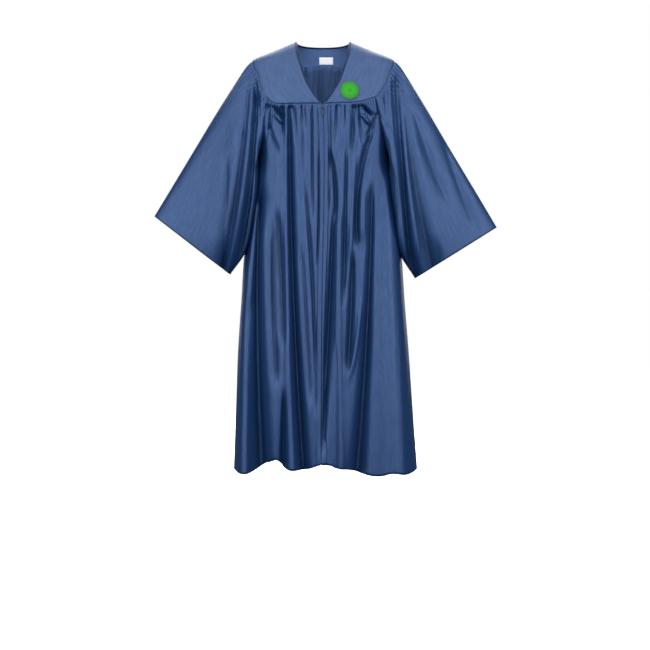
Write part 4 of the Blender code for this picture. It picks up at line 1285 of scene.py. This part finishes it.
# %% Pull tab
TIP_STEPS, TIP_FLATNESS, EYE_ROUNDING = 16, 0.95, 0.4
half, eye, bar = PULL_WIDTH / 2, PULL_EYE / 2, PULL_THICK / 2
tip = [math.radians(180 * step / TIP_STEPS) for step in range(TIP_STEPS + 1)]
outline = [(-half, -bar), (half, -bar), (half, PULL_HOLE)]
end = PULL_LENGTH - half
outline += [(half * math.cos(turn), end + half * TIP_FLATNESS * math.sin(turn)) for turn in tip]
outline += [(-half, PULL_HOLE)]
hole = [(-eye, bar), (eye, bar), (eye, PULL_HOLE)]
hole += [(eye * math.cos(turn), PULL_HOLE + EYE_ROUNDING * math.sin(turn)) for turn in tip[2:-2:4]]
hole += [(-eye, PULL_HOLE)]
low = lift - bar
tab = solid(at_height(outline, low), out * PULL_THICK, at_height(hole, low))
pull_tab = metal_part("pull_tab", tab, 0.3)

# %% [markdown]
# ## Badge and label
#
# A round embroidered badge sits on the wearer's left yoke. A flat disc of small triangles is laid on
# the cloth: a line is cast back through each of its points, and the point moves to where it meets the
# yoke. Its rim stands a little proud, as a stitched edge does.

# %% Laying small things on the cloth
def surface_reader(item):
    """Function that finds the place and normal on an object along a line towards the back."""
    def read(start_y, x, drop):
        hit, spot, up, _ = item.ray_cast(Vector((x, start_y, -drop)) * MM, Vector((0, 1, 0)))
        if not hit:
            raise ValueError("nothing behind that place on " + item.name)
        return np.array(spot) / MM, np.array(up)
    return read


PATCH_MIDDLE, PATCH_RADIUS, PATCH_THICK = (75.0, 160.0), 29.0, 1.2
RIM_AT, RIM_WIDTH, RIM_RISE = 0.93, 0.05, 0.5
FACE_FROM, FACE_RISE, EDGE_FROM, EDGE_DROP = 0.84, 0.4, 0.96, 0.7
bpy.context.view_layer.update()
on_yoke = surface_reader(cloth["yoke_left"])
maker = bmesh.new()
bmesh.ops.create_circle(maker, cap_ends=True, cap_tris=True, segments=64, radius=1.0)
for _ in range(3):
    coarse = [edge for edge in maker.edges if edge.calc_length() > 0.12]
    bmesh.ops.subdivide_edges(maker, edges=coarse, cuts=1)
bmesh.ops.triangulate(maker, faces=maker.faces)
layer = maker.loops.layers.uv.new("cloth")
for face in maker.faces:
    for loop in face.loops:
        loop[layer].uv = loop.vert.co.xy * PATCH_RADIUS * MM
for vertex in maker.verts:
    radius = vertex.co.xy.length
    x, drop = PATCH_MIDDLE[0] + vertex.co.x * PATCH_RADIUS, PATCH_MIDDLE[1] - vertex.co.y * PATCH_RADIUS
    spot_here, up = on_yoke(-400, x, drop)
    bulge = PATCH_THICK + RIM_RISE * near(radius, RIM_AT, RIM_WIDTH)
    bulge += FACE_RISE * ease((FACE_FROM - radius) / 0.06) - EDGE_DROP * ease((radius - EDGE_FROM) / 0.04)
    vertex.co = Vector(spot_here + up * bulge) * MM
maker.normal_update()
if sum(face.normal.y for face in maker.faces) > 0:
    bmesh.ops.reverse_faces(maker, faces=maker.faces)
maker.normal_update()
bmesh.ops.solidify(maker, geom=list(maker.faces), thickness=0.0006)

# %% [markdown]
# The badge has no design: rings of plain green thread, a darker stitched rim and a pale outer ring. A
# colour ramp read by the distance from its middle makes them.

# %% Badge finish
BADGE_RINGS = (
    # from, colour
    (0.00, (0.010, 0.120, 0.004)),
    (0.14, (0.014, 0.200, 0.004)),
    (0.46, (0.016, 0.250, 0.004)),
    (0.56, (0.010, 0.180, 0.004)),
    (0.74, (0.014, 0.230, 0.005)),
    (0.80, (0.004, 0.060, 0.010)),
    (0.88, (0.040, 0.150, 0.070)),
    (0.97, (0.020, 0.070, 0.060)),
)
badge_cloth, tree, shader = new_finish("badge")
flat = add_node(tree, "UVMap", uv_map="cloth").outputs[0]
radius = add_node(tree, "VectorMath", {0: flat}, operation="LENGTH").outputs["Value"]
ramp = add_node(tree, "ValToRGB", {0: math_node(tree, "DIVIDE", radius, PATCH_RADIUS * MM)})
stops = ramp.color_ramp.elements
for index, (start, colour) in enumerate(BADGE_RINGS):
    stop = stops[index] if index < 2 else stops.new(start)
    stop.position, stop.color = start, paint(colour)
stitches = group_outputs(tree, weave_group, Thread=0.0009)["Height"]
stitched = add_node(tree, "Bump", {"Height": stitches, "Distance": 0.0001, "Strength": 1.0})
looks = {"Base Color": ramp.outputs[0], "Normal": stitched.outputs[0]}
fill(tree, shader, {**looks, "Roughness": 0.6, "Specular IOR Level": 0.2})
badge = finish_mesh(maker, "badge", [badge_cloth])

# %% [markdown]
# The label is a small blank tape inside the back yoke, sewn down all round, so its middle swells a
# little while its edges lie on the lining.

# %% Blank label
LABEL_MIDDLE, LABEL_WIDTH, LABEL_HEIGHT = (9.5, 34.0), 41.0, 19.0
LABEL_RISE, LABEL_SWELL = 0.5, 0.5
inside_back = surface_reader(cloth["back_yoke"])
rows = []
for down_share in np.linspace(-0.5, 0.5, 13):
    row = []
    for across_share in np.linspace(-0.5, 0.5, 25):
        x, drop = LABEL_MIDDLE[0] + LABEL_WIDTH * across_share, LABEL_MIDDLE[1] + LABEL_HEIGHT * down_share
        spot_here, up = inside_back(0, x, drop)
        swell = ease((0.5 - abs(across_share)) / 0.1) * ease((0.5 - abs(down_share)) / 0.15)
        row.append(spot_here + up * (LABEL_RISE + LABEL_SWELL * swell))
    rows.append(row)
label = thicken(bend_grid("blank_label", np.array(rows), [label_cloth]), 0.4)

# %% [markdown]
# ## Joining the look to the frame
#
# Each piece rides on the body it belongs to and stands for a node of the rigid model.

# %% What each piece stands for
STANDS_FOR = (
    # object, node, slot
    (cloth["back_yoke"], "yoke_back", "yoke_satin"),
    (cloth["back"], "back", "satin"),
    (cloth["yoke_right"], "yoke_front_right", "yoke_satin"),
    (cloth["yoke_left"], "yoke_front_left", "yoke_satin"),
    (cloth["front_right"], "front_right", "satin"),
    (cloth["front_left"], "front_left", "satin"),
    (cloth["sleeve_right"], "sleeve_right", "satin"),
    (cloth["sleeve_left"], "sleeve_left", "satin"),
    (binding, "neck_binding", "binding"),
    (tapes[0], "zip_tape_right", "tape"),
    (tapes[1], "zip_tape_left", "tape"),
    (coil, "zip_coil", "coil"),
    (slider_body, "zip_slider", "metal"),
    (slider_bridge, "zip_slider", "metal"),
    (pull_tab, "zip_pull", "metal"),
    (badge, "patch", "patch"),
    (label, "label", "label"),
)
for item, node, slot_name in STANDS_FOR:
    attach(item, "pull" if node == "zip_pull" else "gown")
    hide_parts(node)

# %% [markdown]

# %% [markdown]
# ## Light, floor and camera
#
# A large soft light stands in front, so every part of the cloth that faces forward shines and every
# fold that turns away goes dark. Two at the sides and one above open the shadows. Two smaller ones
# behind keep the back readable.


# %% Lights
def soft_light(name, place, aim, width, height, power):
    """Area light at a place, turned to shine at its aim."""
    lamp = bpy.data.lights.new(name, "AREA")
    lamp.shape, lamp.size, lamp.size_y, lamp.energy = "RECTANGLE", width, height, power
    item = bpy.data.objects.new(name, lamp)
    item.location = place
    item.rotation_euler = (Vector(aim) - Vector(place)).to_track_quat("-Z", "Y").to_euler()
    scene.collection.objects.link(item)


CENTRE = (0.0, 0.0, -0.65)
soft_light("front softbox", (0.0, -4.5, 0.1), CENTRE, 9.0, 3.0, 230)
soft_light("right softbox", (-4.0, -2.4, 0.5), CENTRE, 3.4, 4.4, 125)
soft_light("left softbox", (4.0, -2.4, 0.5), CENTRE, 3.4, 4.4, 125)
soft_light("top softbox", (0.0, -2.05, 2.92), (0.0, 0.0, -0.15), 9.0, 4.2, 288)
soft_light("back softbox", (0.0, 4.5, 0.4), CENTRE, 4.0, 3.0, 90)
soft_light("high back softbox", (0.0, 2.6, 2.8), CENTRE, 5.0, 3.0, 220)

print("lights:", len(bpy.data.lights))

# %% [markdown]
# The floor lies below the hem and gives off a little light of its own, so that it is as white as the
# surroundings and no edge shows. It doesn't light the gown or show in its shine.

# %% Floor
FLOOR_LEVEL = -1.52
maker = bmesh.new()
bmesh.ops.create_grid(maker, x_segments=1, y_segments=1, size=14)
bmesh.ops.translate(maker, vec=Vector((0, 0, FLOOR_LEVEL)), verts=maker.verts)
pale, tree, shader = new_finish("pale floor")
paper = mixed(tree, soft_height(tree, 2.0), paint(WHITE, 0.90), paint(WHITE, 0.94))
looks = {"Base Color": paper, "Roughness": 0.9, "Emission Color": paint(WHITE), "Emission Strength": 1.0}
fill(tree, shader, looks)
floor = finish_mesh(maker, "floor", [pale])
floor.visible_diffuse = False
floor.visible_glossy = False

# %% [markdown]
# The surroundings are white for rays that come from the camera and a dim blue for all others. The
# camera looks level at the gown from 3.2 m away, through a long lens that hardly widens near parts.

# %% Surroundings and camera
world = bpy.data.worlds.new("studio")
scene.world = world
world.use_nodes = True
tree = world.node_tree
sight = add_node(tree, "LightPath").outputs["Is Camera Ray"]
fill(tree, tree.nodes["Background"], {"Color": mixed(tree, sight, (0.06, 0.09, 0.15, 1), paint(WHITE))})
scene.view_settings.view_transform = "Standard"

lens = bpy.data.cameras.new("camera")
lens.sensor_width, lens.lens = 36.0, 61.1
camera = bpy.data.objects.new("camera", lens)
camera.location = (0.0058, -3.2, -0.82)
camera.rotation_euler = (math.radians(90), 0, 0)
scene.collection.objects.link(camera)
scene.camera = camera
